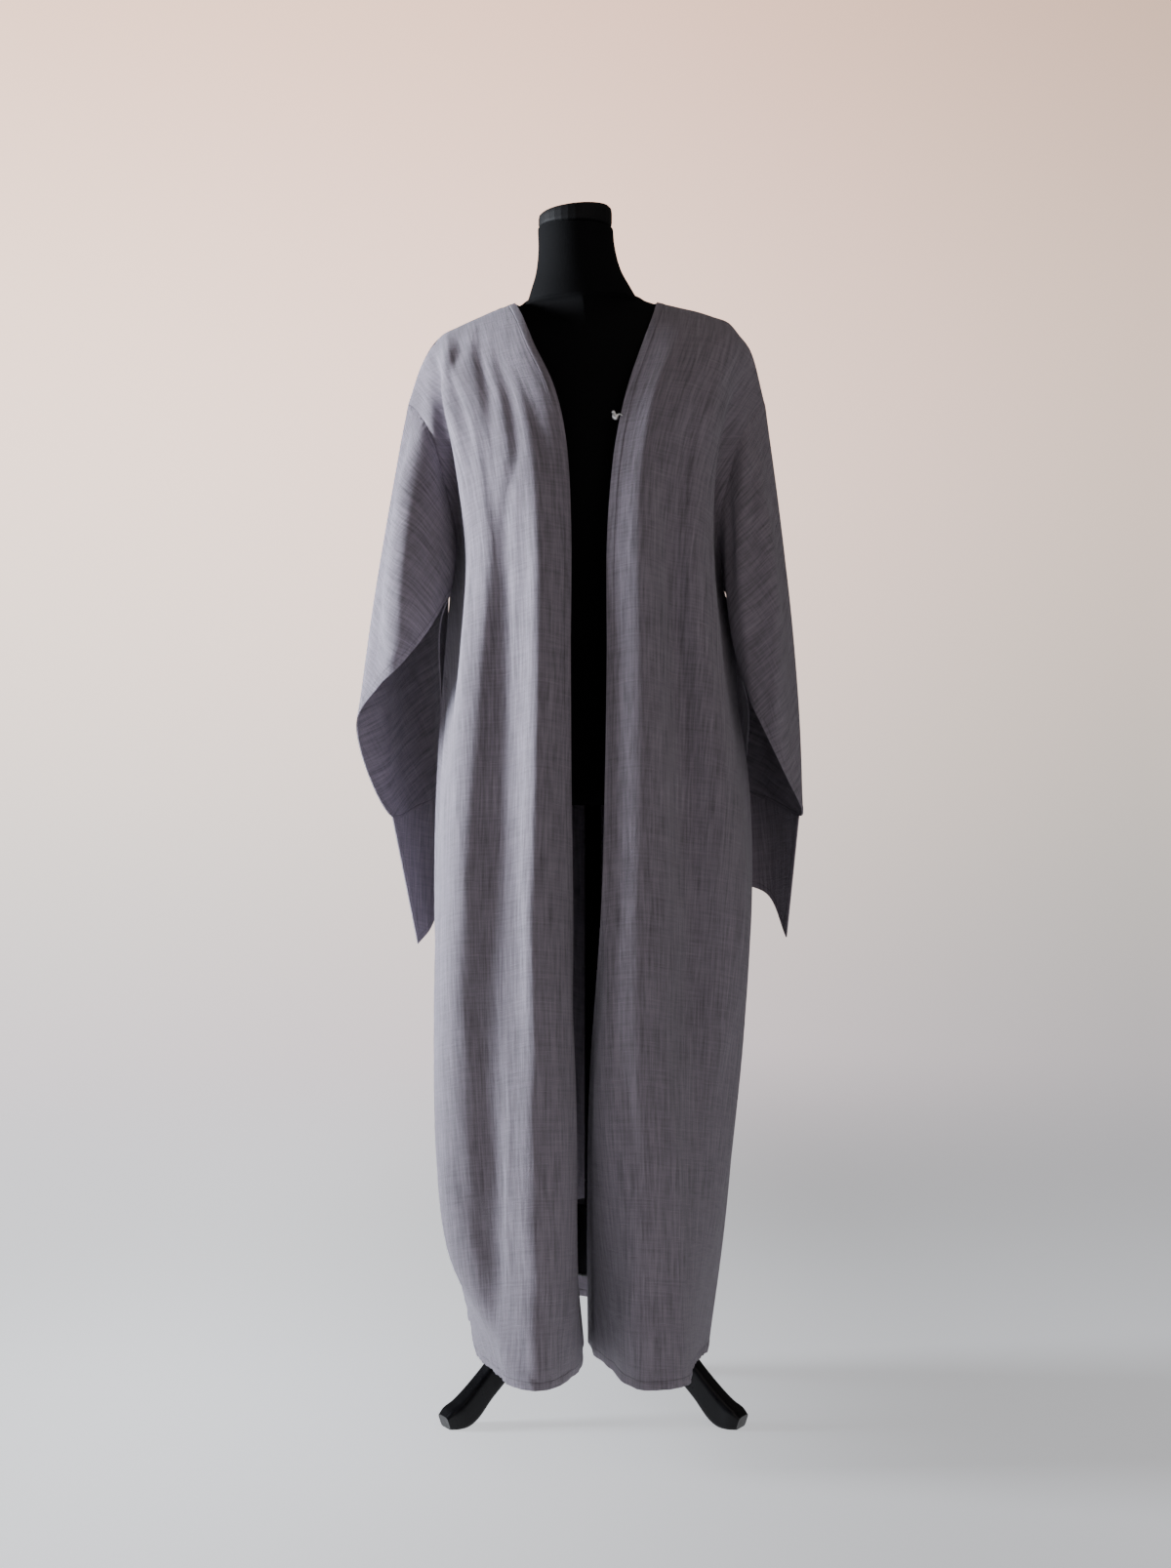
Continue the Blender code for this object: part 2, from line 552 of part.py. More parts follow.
def cylinder(name, x, y, bottom, top, radius, sides, collection, look):
    bpy.ops.mesh.primitive_cylinder_add(
        vertices=sides, radius=radius, depth=top - bottom, location=(x, y, (top + bottom) / 2)
    )
    made = bpy.context.object
    for other in made.users_collection:
        other.objects.unlink(made)
    collection.objects.link(made)
    made.name = name
    made.data.name = name
    made.parent = bpy.data.objects["body_axis"]
    made.data.materials.append(look)
    made.data.shade_smooth()
    made.data.set_sharp_from_angle(angle=math.radians(40))
    return made


def stand(collection):
    wood = material("black_wood", BLACK_WOOD, 0.30)
    cylinder("pole", POLE_X, 0, HUB_TOP + TOUCH_GAP, FORM_BOTTOM - TOUCH_GAP, POLE_RADIUS, 24, collection, wood)
    hub = cylinder("hub", POLE_X, 0, HUB_BOTTOM, HUB_TOP, HUB_RADIUS, 32, collection, wood)
    bevel = hub.modifiers.new("rounded_rims", "BEVEL")
    bevel.width, bevel.segments, bevel.limit_method = 0.004, 3, "ANGLE"
    for n, turn in enumerate(LEG_TURNS_DEG):
        leg(("leg_right", "leg_left", "leg_back")[n], math.radians(turn), collection, wood)


def leg(name, turn, collection, look):
    """A curved leg with a rounded square section, flat under its foot."""
    line = np.array([(s.out, s.z) for s in LEG])
    along = np.gradient(line, axis=0)
    along /= np.linalg.norm(along, axis=1, keepdims=True)
    out = Vector((math.sin(turn), -math.cos(turn), 0))
    side = Vector((math.cos(turn), math.sin(turn), 0))
    rings = []
    for s, (run, rise) in zip(LEG, along):
        if s is LEG[0]:
            run, rise = 1.0, 0.0
        ring = []
        for k in range(16):
            angle = 2 * math.pi * (k + .5) / 16
            across = s.half_width * power_of(math.cos(angle), .55)
            up = s.half_height * power_of(math.sin(angle), .55)
            point = out * (s.out - rise * up) + side * across
            ring.append((POLE_X + point.x, point.y, max(0.0, s.z + run * up)))
        rings.append(ring)
    loft(name, rings, collection, look)


def build():
    clear_scene()
    collection = bpy.data.collections.new("abaya_cloak_on_dress_form")
    bpy.context.scene.collection.children.link(collection)
    axis = bpy.data.objects.new("body_axis", None)
    axis.location = BODY_PLACE
    collection.objects.link(axis)
    cloak(collection)
    form_torso(collection)
    neck_cap(collection)
    stand(collection)
    bpy.context.view_layer.update()


build()
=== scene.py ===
"""The abaya cloak on its dress form, as it is seen: fine cloth, jersey, lacquered wood, light and camera.

Metres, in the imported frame. The tables give places from the body's axis, which stands at BODY_PLACE.
"""

import math

import bpy
import numpy as np
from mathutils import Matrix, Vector


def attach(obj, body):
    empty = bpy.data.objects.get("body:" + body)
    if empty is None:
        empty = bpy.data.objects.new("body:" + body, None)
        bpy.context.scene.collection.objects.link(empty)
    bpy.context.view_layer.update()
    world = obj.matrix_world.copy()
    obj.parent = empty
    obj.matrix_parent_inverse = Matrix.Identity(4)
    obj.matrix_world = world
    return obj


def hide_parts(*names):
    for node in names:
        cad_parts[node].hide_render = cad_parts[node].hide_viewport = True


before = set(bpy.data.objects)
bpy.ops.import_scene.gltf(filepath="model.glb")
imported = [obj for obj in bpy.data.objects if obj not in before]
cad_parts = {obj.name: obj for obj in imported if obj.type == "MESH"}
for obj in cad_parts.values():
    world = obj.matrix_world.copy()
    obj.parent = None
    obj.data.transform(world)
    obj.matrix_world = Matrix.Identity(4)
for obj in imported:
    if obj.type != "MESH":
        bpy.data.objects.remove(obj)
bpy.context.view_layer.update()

BODY_PLACE = np.array((0.008, 0.046, 0.0))

# Faces between two sections and two lines of the tables, across the neck, and down a sleeve and its point.
ROWS, COLUMNS = 12, 10
NECK_COLUMNS, SLEEVE_ROWS, POINT_ROWS = 40, 96, 36
CLOTH = 0.0009  # one layer of the linen
TURNED = 1.2  # how much thicker it is where it is turned over, as a share
HEM_DEPTH, EDGE_DEPTH, POINT_DEPTH = 0.0105, 0.010, 0.008  # from the cloth's edge to the stitches
POINT_SEAM = 0.0045  # from the sleeve's mouth to the line of the seam that joins its point
HEM_SECTION = 0.170  # from the tables' last section but one down to the hem
ROW_GAP = .04  # how far above the hem's rows the even ones stop, in sections
# Rows are closer near the hem, at these distances from its edge.
HEM_ROWS = (.0165, .0145, .0137, .013, .0122, .0112, .008, .004, .0014, .0004, 0)

# A front's sections, from the shoulder seam to the hem: the heights at the front edge and at the armhole or
# side seam, and plan points, x outwards from the middle and y, of the lines at its edge, curl, crest, slope,
# valley, ridge, flank, tuck and seam.
RIGHT_FRONT = (
    (1.545, 1.405, (.099, 0), (.108, 0), (.134, 0), (.158, 0), (.18, 0),
     (.199, 0), (.214, 0), (.23, 0), (.248, 0)),
    (1.515, 1.386, (.088, -.045), (.098, -.047), (.128, -.05), (.152, -.048), (.173, -.043),
     (.195, -.04), (.211, -.033), (.222, -.022), (.231, -.02)),
    (1.465, 1.353, (.071, -.085), (.081, -.088), (.116, -.094), (.142, -.09), (.162, -.083),
     (.183, -.079), (.199, -.067), (.206, -.046), (.213, -.042)),
    (1.4, 1.303, (.044, -.12), (.054, -.124), (.092, -.131), (.122, -.125), (.146, -.116),
     (.164, -.11), (.185, -.094), (.188, -.056), (.199, -.05)),
    (1.32, 1.232, (.028, -.14), (.038, -.146), (.074, -.155), (.106, -.147), (.128, -.136),
     (.149, -.127), (.172, -.104), (.172, -.052), (.184, -.046)),
    (1.2, 1.15, (.02, -.162), (.031, -.168), (.066, -.178), (.089, -.164), (.109, -.151),
     (.132, -.145), (.159, -.114), (.164, -.056), (.189, 0)),
    (1.04, 1.04, (.02, -.182), (.032, -.19), (.064, -.203), (.087, -.186), (.107, -.17),
     (.142, -.166), (.166, -.142), (.17, -.07), (.198, 0)),
    (.88, .88, (.019, -.202), (.031, -.211), (.066, -.227), (.088, -.209), (.11, -.194),
     (.152, -.189), (.184, -.158), (.188, -.085), (.207, -.02)),
    (.7, .7, (.017, -.212), (.026, -.228), (.068, -.25), (.091, -.235), (.115, -.223),
     (.16, -.216), (.192, -.182), (.201, -.1), (.209, -.04)),
    (.47, .47, (.018, -.2), (.0145, -.238), (.064, -.276), (.091, -.265), (.115, -.252),
     (.155, -.241), (.186, -.205), (.197, -.112), (.199, -.06)),
    (.27, .27, (.015, -.16), (.0145, -.243), (.058, -.294), (.093, -.282), (.115, -.265),
     (.145, -.25), (.168, -.212), (.176, -.145), (.179, -.098)),
    (.1, .12, (.003, -.05), (.0135, -.225), (.06, -.308), (.096, -.288), (.106, -.252),
     (.12, -.222), (.136, -.188), (.1455, -.152), (.151, -.12)),
)
LEFT_FRONT = (
    (1.546, 1.405, (.1, 0), (.109, 0), (.134, 0), (.158, 0), (.18, 0),
     (.199, 0), (.2145, 0), (.231, 0), (.251, 0)),
    (1.516, 1.386, (.092, -.045), (.101, -.047), (.13, -.05), (.155, -.048), (.178, -.044),
     (.199, -.04), (.215, -.032), (.227, -.021), (.236, -.02)),
    (1.465, 1.353, (.075, -.085), (.084, -.088), (.118, -.094), (.145, -.091), (.168, -.086),
     (.186, -.077), (.2, -.066), (.206, -.046), (.216, -.042)),
    (1.4, 1.303, (.055, -.122), (.065, -.126), (.096, -.131), (.126, -.126), (.15, -.117),
     (.168, -.11), (.186, -.093), (.188, -.056), (.201, -.05)),
    (1.32, 1.232, (.039, -.147), (.049, -.15), (.076, -.155), (.105, -.148), (.13, -.137),
     (.152, -.131), (.175, -.11), (.173, -.058), (.185, -.05)),
    (1.2, 1.15, (.029, -.17), (.039, -.174), (.068, -.18), (.096, -.17), (.118, -.155),
     (.146, -.15), (.173, -.12), (.173, -.062), (.192, 0)),
    (1.04, 1.04, (.0285, -.188), (.039, -.193), (.068, -.2), (.096, -.189), (.121, -.169),
     (.15, -.164), (.182, -.136), (.187, -.07), (.203, 0)),
    (.88, .88, (.026, -.21), (.036, -.216), (.067, -.223), (.098, -.213), (.132, -.188),
     (.164, -.182), (.2, -.155), (.208, -.085), (.227, -.02)),
    (.7, .7, (.0205, -.229), (.031, -.236), (.066, -.245), (.101, -.235), (.14, -.206),
     (.176, -.198), (.213, -.168), (.223, -.103), (.23, -.04)),
    (.47, .47, (.006, -.17), (.025, -.243), (.068, -.27), (.105, -.257), (.142, -.221),
     (.173, -.206), (.198, -.172), (.207, -.118), (.209, -.07)),
    (.27, .27, (.003, -.12), (.026, -.217), (.069, -.282), (.109, -.271), (.136, -.242),
     (.154, -.212), (.173, -.175), (.183, -.134), (.189, -.096)),
    (.1, .1, (.004, -.05), (.032, -.185), (.071, -.295), (.118, -.285), (.137, -.242),
     (.139, -.196), (.149, -.148), (.158, -.12), (.166, -.098)),
)
# How far down from the front edge's height to the seam's each line lies, as a share.
RIGHT_FALL = (0, .025, .10, .171, .243, .31, .414, .62, 1)
LEFT_FALL = (0, .015, .057, .096, .149, .20, .319, .475, 1)
CREST, UNDERARM = 2, 5  # the line along the fold at the edge, and the section that the armhole ends at

# The back's sections, one for each of a front's: the height, plan points of one half's side and middle lines,
# and y at the centre.
BACK = (
    (1.54, (.196, 0), (.125, 0), .082),
    (1.5, (.203, .038), (.128, .064), .104),
    (1.45, (.19, .068), (.12, .101), .12),
    (1.39, (.172, .084), (.111, .118), .131),
    (1.31, (.153, .094), (.102, .127), .138),
    (1.2, (.15, .092), (.1, .132), .143),
    (1.04, (.166, .09), (.108, .14), .151),
    (.88, (.184, .085), (.122, .152), .164),
    (.7, (.196, .08), (.13, .162), .176),
    (.47, (.194, .082), (.133, .172), .19),
    (.27, (.178, .088), (.125, .18), .202),
    (.1, (.159, .085), (.108, .184), .212),
)
SIDE_FALL, MIDDLE_FALL = .27, .05  # how far down to the seam's height these lines lie, as a share
# The back's folds: place from the right seam (-1) to the left (1), width, and depth outwards at the hem.
BACK_FOLDS = (
    (-.66, .10, .014), (-.40, .12, -.020), (-.12, .13, .022), (.16, .11, -.018),
    (.43, .13, .024), (.68, .09, -.012),
)
FOLDS_START_Z, FOLDS_GROWTH = 1.30, 1.3  # where they start, and the power that they grow down by
FOLDS_FROM = (0, -.03, 0)  # they swell away from the upright line here
FOLDS_END = 8  # they fade over the last eighth of the way from the middle to a seam
SHOULDER_FADE = 4.0  # how fast the shoulder seam's shape fades down the back

# A sleeve's mouth, from the outer fold round the front to the underarm line and back: x outwards, y, z, how
# far the cloth swells outwards halfway down from the armhole, and how soon it travels outwards (1 is evenly,
# less is sooner).
RIGHT_MOUTH = (
    (.318, -.03, .954, .003, 1),  # outer fold
    (.285, -.06, 1.005, .02, 1),
    (.252, -.078, 1.036, .034, 1),  # middle of the front
    (.215, -.08, 1.082, .026, .9),
    (.187, -.058, 1.134, .006, 1),
    (.204, -.004, 1.092, 0, .7),  # underarm line
    (.206, .056, .955, 0, .5),
    (.2135, .086, .853, .008, .8),  # the joined point starts here
    (.242, .08, .836, .028, 1),
    (.274, .036, .824, .022, 1),  # and ends here
)
LEFT_MOUTH = (
    (.3015, -.026, .836, .008, 1),
    (.28, -.052, .875, .02, 1),
    (.252, -.072, .93, .034, 1),
    (.23, -.078, .976, .026, 1),
    (.2175, -.054, 1.014, .006, .7),
    (.229, .003, .975, 0, .7),
    (.231, .058, .918, 0, .5),
    (.2275, .09, .864, .008, .8),
    (.264, .074, .846, .028, 1),
    (.3005, .012, .826, .022, 1),
)
SWELL_POWER = .8  # how evenly the swelling is spread down a sleeve; 1 is a sine
POINT_FIRST, POINT_LAST = 7, 9  # the mouth's lines that the joined point hangs from
# The lower edge of each sleeve's joined point, under those lines.
RIGHT_POINT = ((.212, .088, .69), (.224, .083, .662), (.2404, .066, .642))
LEFT_POINT = ((.222, .092, .728), (.262, .076, .712), (.2857, .042, .653))

NECKLINE = ((-.076, .052, 1.546), (0, .082, 1.54), (.077, .052, 1.547))

FORM_TILT = .035  # the form leans to its right: how much its rings rise for each metre to its left
FORM_SIDES, FORM_STEPS = 120, 6  # faces round it, and between two rings
# The dress form, from the waist's lower end to the top of the neck: height, x and y of the middle, half
# width, half depth, and the power of its superellipse (2 is an ellipse, less is more pointed).
FORM = (
    (.842, .002, .006, .14, .098, 2.1),
    (.85, .002, .006, .15, .108, 2.1),
    (.9, .001, .006, .16, .116, 2.1),
    (.97, 0, .004, .155, .112, 2.1),
    (1.08, 0, -.002, .122, .094, 2.1),
    (1.17, 0, -.006, .133, .102, 2.1),
    (1.27, 0, -.008, .148, .118, 2.1),
    (1.34, 0, -.004, .158, .116, 2.1),
    (1.4, -.001, .002, .178, .108, 2),
    (1.44, -.001, .005, .19, .1, 1.9),
    (1.47, -.001, .006, .197, .088, 1.75),
    (1.49, -.001, .006, .199, .076, 1.5),
    (1.505, -.001, .004, .195, .065, 1.3),
    (1.514, -.001, 0, .178, .057, 1.15),
    (1.523, -.002, -.0005, .154, .054, 1.1),
    (1.531, -.002, -.001, .127, .054, 1.1),
    (1.539, -.003, -.0005, .1055, .055, 1.15),
    (1.549, -.004, -.001, .082, .057, 1.6),
    (1.566, -.007, .001, .0695, .059, 2),
    (1.59, -.01, 0, .0595, .058, 2),
    (1.622, -.0125, 0, .0537, .056, 2),
    (1.6485, -.0142, 0, .0527, .055, 2),
)

POLE_X = .0105
LEG_TURNS_DEG = (-60.0, 60.0, 156.0)
LEG_STEPS, LEG_SIDES = 48, 40
LEG_ROUNDING = .42  # of its section: 1 is an ellipse, 0 a rectangle
# A leg's centre line: distance out from the pole, height, half its height and half its width.
LEG = (
    (.0315, .26, .022, .012), (.05, .234, .021, .012), (.078, .184, .0195, .012),
    (.108, .128, .0185, .0125), (.142, .08, .018, .013), (.176, .045, .017, .0145),
    (.204, .0185, .0185, .0165), (.222, .012, .015, .0175), (.2325, .0085, .0095, .0145),
)

# The hook on the left front's edge, along its bent wire: distance past the edge towards the middle, height
# above HOOK_Z and radius. It starts on the cloth, swells to a bead and ends in a turned-over tip.
HOOK_Z = 1.366
BESIDE_EDGE = 6  # how many of the front's points in from its edge show which way the cloth faces there
SOLID_HALF_WALL, TOUCH_GAP = .0007, .0003  # half the solids' cloth, and the gap between it and the wire
WIRE_SCALE = 1.3  # of the solid's radius, so that it catches as much light as the photograph's
HOOK_STEPS, WIRE_SIDES = 60, 20
STITCHES_AT = (4, 7, 10)  # the steps along the wire that are sewn down
STITCH_RADIUS, STITCH_SIDES, STITCH_STEPS = .00022, 8, 12
STITCH_TURN, STITCH_WIDTH = .55 * math.pi, 1.5  # how far round it goes each way, and its width to its height
HOOK = (
    (-.0032, -.0004, .00045), (-.0026, .0001, .0007), (-.0006, .0014, .0007),
    (.0014, .0018, .0008), (.0032, .0008, .0013), (.005, -.001, .0024),
    (.0064, -.0022, .0032), (.0077, -.0008, .0029), (.0083, .0018, .0021),
    (.0087, .0042, .0014), (.0095, .0057, .0012), (.0108, .0052, .001),
    (.0115, .0038, .0006),
)
SEWN_RADIUS = HOOK[1][2]  # of the wire where it is sewn down


def smooth(points, at, level_start=False):
    """The smooth curve through points (the first axis), at fractional indices; level_start leaves along Y."""
    p = np.asarray(points, float)
    step = np.sqrt(np.linalg.norm(np.diff(p, axis=0), axis=-1, keepdims=True)) + 1e-6
    slope = np.diff(p, axis=0) / step
    tangent = np.concatenate([slope[:1], slope])
    tangent[1:-1] = (slope[:-1] * step[1:] + slope[1:] * step[:-1]) / (step[1:] + step[:-1])
    if level_start:
        tangent[0] *= np.array((0.0, 1.0, 0.0))
    i = np.minimum(np.asarray(at).astype(int), len(p) - 2)
    f = (np.asarray(at) - i).reshape((-1,) + (1,) * (p.ndim - 1))
    h = step[i]
    return (
        p[i] * (2 * f**3 - 3 * f**2 + 1)
        + tangent[i] * h * (f**3 - 2 * f**2 + f)
        + p[i + 1] * (3 * f**2 - 2 * f**3)
        + tangent[i + 1] * h * (f**3 - f**2)
    )


def smooth_loop(points, steps):
    """The smooth closed curve through points, with so many steps between two of them."""
    padded = [*points[-2:], *points, *points[:3]]
    return smooth(padded, 2 + np.arange(len(points) * steps) / steps)


def unit_of(vectors):
    return vectors / np.maximum(np.linalg.norm(vectors, axis=-1, keepdims=True), 1e-12)


# ---- the cloth's form


def row_places():
    """Where the rows of a front and of the back lie, in sections from the shoulder seam."""
    even = np.arange(0, (len(BACK) - 1) * ROWS) / ROWS
    hem = len(BACK) - 1 - np.array(HEM_ROWS) / HEM_SECTION
    return np.concatenate([even[even < hem[0] - ROW_GAP], hem])


def front_grid(table, fall, side):
    """A front's points, in rows from its edge to its seam; side is -1 on the right and 1 on the left."""
    lines = [
        [(side * x, y, edge_z + (seam_z - edge_z) * share) for (x, y), share in zip(plan, fall)]
        for edge_z, seam_z, *plan in table
    ]
    rows = smooth(lines, row_places(), level_start=True)
    columns = np.arange((len(fall) - 1) * COLUMNS + 1) / COLUMNS
    return smooth(rows.transpose(1, 0, 2), columns).transpose(1, 0, 2)


def back_grid(right, left):
    """The back's points, in rows from the right front's seam to the left front's."""
    count = 2 * (right.shape[1] - 1) + NECK_COLUMNS
    lines = []
    for z, side, middle, centre_y in BACK:
        half = [(*side, z), (*middle, z)]
        lines.append([*[(-x, y, z) for x, y, z in half], (0, centre_y, z), *half[::-1]])
    seams = []
    for front in (right, left):
        seam = front[:, -1].copy()
        seam[: UNDERARM * ROWS, 1] *= -1
        seams.append(seam)
    grid = []
    for points, first, last in zip(smooth(lines, row_places()), *seams):
        for k, share in ((0, SIDE_FALL), (1, MIDDLE_FALL), (3, MIDDLE_FALL), (4, SIDE_FALL)):
            points[k, 2] += ((first if k < 2 else last)[2] - points[k, 2]) * share
        grid.append(smooth([first, *points, last], np.linspace(0, len(points) + 1, count + 1)))
    grid = np.array(grid)
    place = np.linspace(-1, 1, count + 1)
    for row in grid:
        out = row - FOLDS_FROM
        out[:, 2] = 0
        out = unit_of(out)
        grown = max(0.0, (FOLDS_START_Z - row[count // 2, 2]) / FOLDS_START_Z) ** FOLDS_GROWTH
        swell = sum(depth * np.exp(-(((place - at) / width) ** 2)) for at, width, depth in BACK_FOLDS)
        row += out * (swell * grown * np.clip((1 - np.abs(place)) * FOLDS_END, 0, 1))[:, None]
    neck = smooth([right[0, 0], *NECKLINE, left[0, 0]], np.linspace(0, len(NECKLINE) + 1, NECK_COLUMNS + 1))
    top = np.concatenate([right[0, ::-1], neck[1:-1], left[0]])
    fade = np.clip(1 - row_places() / UNDERARM, 0, 1) ** SHOULDER_FADE
    return grid + (top - grid[0]) * fade[:, None, None]


def sleeve_grid(front, back_seam, table, side):
    """A sleeve's points, in rings from the armhole to the mouth."""
    under = UNDERARM * ROWS
    armhole = np.concatenate([front[:under, -1], back_seam[under:0:-1]])
    steps = 2 * under // len(table)
    mouth = smooth_loop([(side * x, y, z) for x, y, z, _, _ in table], steps)
    swell, lead = smooth_loop([row[3:] for row in table], steps).T
    down = np.linspace(0, 1, SLEEVE_ROWS + 1)[:, None, None]
    grid = armhole * (1 - down) + mouth * down
    grid[:, :, 0] = armhole[:, 0] + (mouth - armhole)[:, 0] * down[:, :, 0] ** lead
    ahead, behind = np.roll(grid, -1, 1), np.roll(grid, 1, 1)
    out = side * unit_of(np.cross(ahead - behind, mouth - armhole))
    return grid + out * swell[:, None] * np.sin(math.pi * down) ** SWELL_POWER


def point_grid(sleeve, lower_edge, side):
    """The points of the piece joined on under a sleeve, in rows from the sleeve's mouth."""
    steps = sleeve.shape[1] // len(RIGHT_MOUTH)
    top = sleeve[-1, POINT_FIRST * steps : POINT_LAST * steps + 1]
    low = smooth([(side * x, y, z) for x, y, z in lower_edge], np.arange(len(top)) / steps)
    down = np.linspace(0, 1, POINT_ROWS + 1)[:, None, None]
    return top * (1 - down) + low * down


def lengths(points, axis):
    """The lengths along the lines of points, from 0 at their start."""
    steps = np.linalg.norm(np.diff(points, axis=axis), axis=2)
    return np.insert(np.cumsum(steps, axis=axis), 0, 0, axis=axis)


class Panel:
    """A piece's grid of points, with its lengths in the cloth and its normals; outside is their sign."""

    def __init__(self, grid, outside, tube=False, centre=0):
        self.grid, self.tube = grid, tube
        closed = np.concatenate([grid, grid[:, :1]], axis=1) if tube else grid
        self.across = lengths(closed, 1)
        if tube:
            mean = self.across[:, -1].mean() / grid.shape[1]
            self.across = np.arange(grid.shape[1] + 1)[None] * mean * np.ones((len(grid), 1))
        self.across = self.across - self.across[:, centre][:, None]
        self.down = lengths(closed, 0)
        self.up = self.down[-1] - self.down  # from the lower edge
        self.started = closed[0, :, 2].max() - closed[0, :, 2]
        self.normal = outside * self.normals(self.grid)

    def normals(self, grid):
        if self.tube:
            around = np.roll(grid, -1, 1) - np.roll(grid, 1, 1)
        else:
            around = np.gradient(grid, axis=1)
        return unit_of(np.cross(np.gradient(grid, axis=0), around))

    def trimmed(self, values):
        return values[:, :-1] if self.tube else values

    def push(self, outwards):
        self.grid = self.grid + self.normal * outwards[:, :, None]


RUN_STEPS = 60  # of a run's curve


def run_of(panel, run):
    """How far one fold pushes a panel outwards."""
    width, *places = run
    places = smooth(places, np.linspace(0, len(places) - 1, RUN_STEPS))
    down = panel.trimmed(panel.down + panel.started)
    middle = np.interp(down, places[:, 0], places[:, 1])
    height = np.interp(down, places[:, 0], places[:, 2], left=0, right=0)
    return height * np.exp(-(((panel.trimmed(panel.across) - middle) / width) ** 2))


def ripple(across, down, wide, long, phase):
    """Soft uneven waves, about 1 high, of that width and length in metres."""
    x, y = across / wide * 2 * math.pi, down / long * 2 * math.pi
    return (
        .5 * np.sin(x + 1.7 * np.sin(.6 * y + phase) + phase)
        + .3 * np.sin(1.73 * x - .8 * y + 2.1 * phase)
        + .2 * np.sin(2.9 * x + 1.3 * np.sin(1.1 * y) + 3.3 * phase)
    )


def away(distance, start, full):
    """0 up to start, 1 from full on, smooth between."""
    t = np.clip((distance - start) / (full - start), 0, 1)
    return t * t * (3 - 2 * t)


# ---- meshes


def make_object(name, verts, faces, uvs, look, smooth_angle=50):
    mesh = bpy.data.meshes.new(name)
    mesh.from_pydata([tuple(v) for v in verts], [], faces)
    for layer, values in uvs.items():
        made = mesh.uv_layers.new(name=layer)
        made.data.foreach_set("uv", np.asarray(values, np.float32).ravel())
    mesh.materials.append(look)
    mesh.shade_smooth()
    mesh.set_sharp_from_angle(angle=math.radians(smooth_angle))
    mesh.validate()
    made = bpy.data.objects.new(name, mesh)
    bpy.context.scene.collection.objects.link(made)
    return made


def shell(name, panel, half_wall, weave, edge_distance, look, flip):
    """The cloth as a thin closed shell, with its lengths and its distance from its edges as UV layers."""
    grid = panel.grid + BODY_PLACE
    wall = panel.normals(panel.grid) * half_wall[:, :, None]
    verts = np.concatenate([(grid + wall).reshape(-1, 3), (grid - wall).reshape(-1, 3)])
    rows, columns = grid.shape[:2]
    low, last = rows - 1, columns if panel.tube else columns - 1
    i, j = np.mgrid[:low, :last].reshape(2, -1)
    r, c = np.arange(low), np.arange(last)
    # Kinds of faces, by their corners: row, column, and 0 outside or 1 inside.
    kinds = [
        ((i + 1, j, 0), (i + 1, j + 1, 0), (i, j + 1, 0), (i, j, 0)),
        ((i, j, 1), (i, j + 1, 1), (i + 1, j + 1, 1), (i + 1, j, 1)),
        ((0, c, 0), (0, c + 1, 0), (0, c + 1, 1), (0, c, 1)),
        ((low, c + 1, 0), (low, c, 0), (low, c, 1), (low, c + 1, 1)),
    ]
    if not panel.tube:
        kinds += [
            ((r + 1, 0, 0), (r, 0, 0), (r, 0, 1), (r + 1, 0, 1)),
            ((r, last, 0), (r + 1, last, 0), (r + 1, last, 1), (r, last, 1)),
        ]
    faces = [np.stack([np.stack(np.broadcast_arrays(*at), 1) for at in corners], 1) for corners in kinds]
    corners = np.concatenate(faces)
    if flip:
        corners = corners[:, ::-1]
    row, column, inside = corners.reshape(-1, 3).T
    index = (inside * rows + row) * columns + column % columns
    uvs = {"weave": weave[row, column], "edges": edge_distance[row, column]}
    return make_object(name, verts, index.reshape(-1, 4).tolist(), uvs, look)


def loft(name, rings, look, smooth_angle=50):
    """A closed solid through rings of points, with flat ends."""
    rings = np.asarray(rings)
    count, sides = rings.shape[:2]
    index = np.arange(count * sides).reshape(count, sides)
    after = np.roll(index, -1, axis=1)
    quads = np.stack([index[:-1], after[:-1], after[1:], index[1:]], 2).reshape(-1, 4)
    faces = [*quads.tolist(), index[0, ::-1].tolist(), index[-1].tolist()]
    return make_object(name, rings.reshape(-1, 3), faces, {}, look, smooth_angle)


# ---- materials


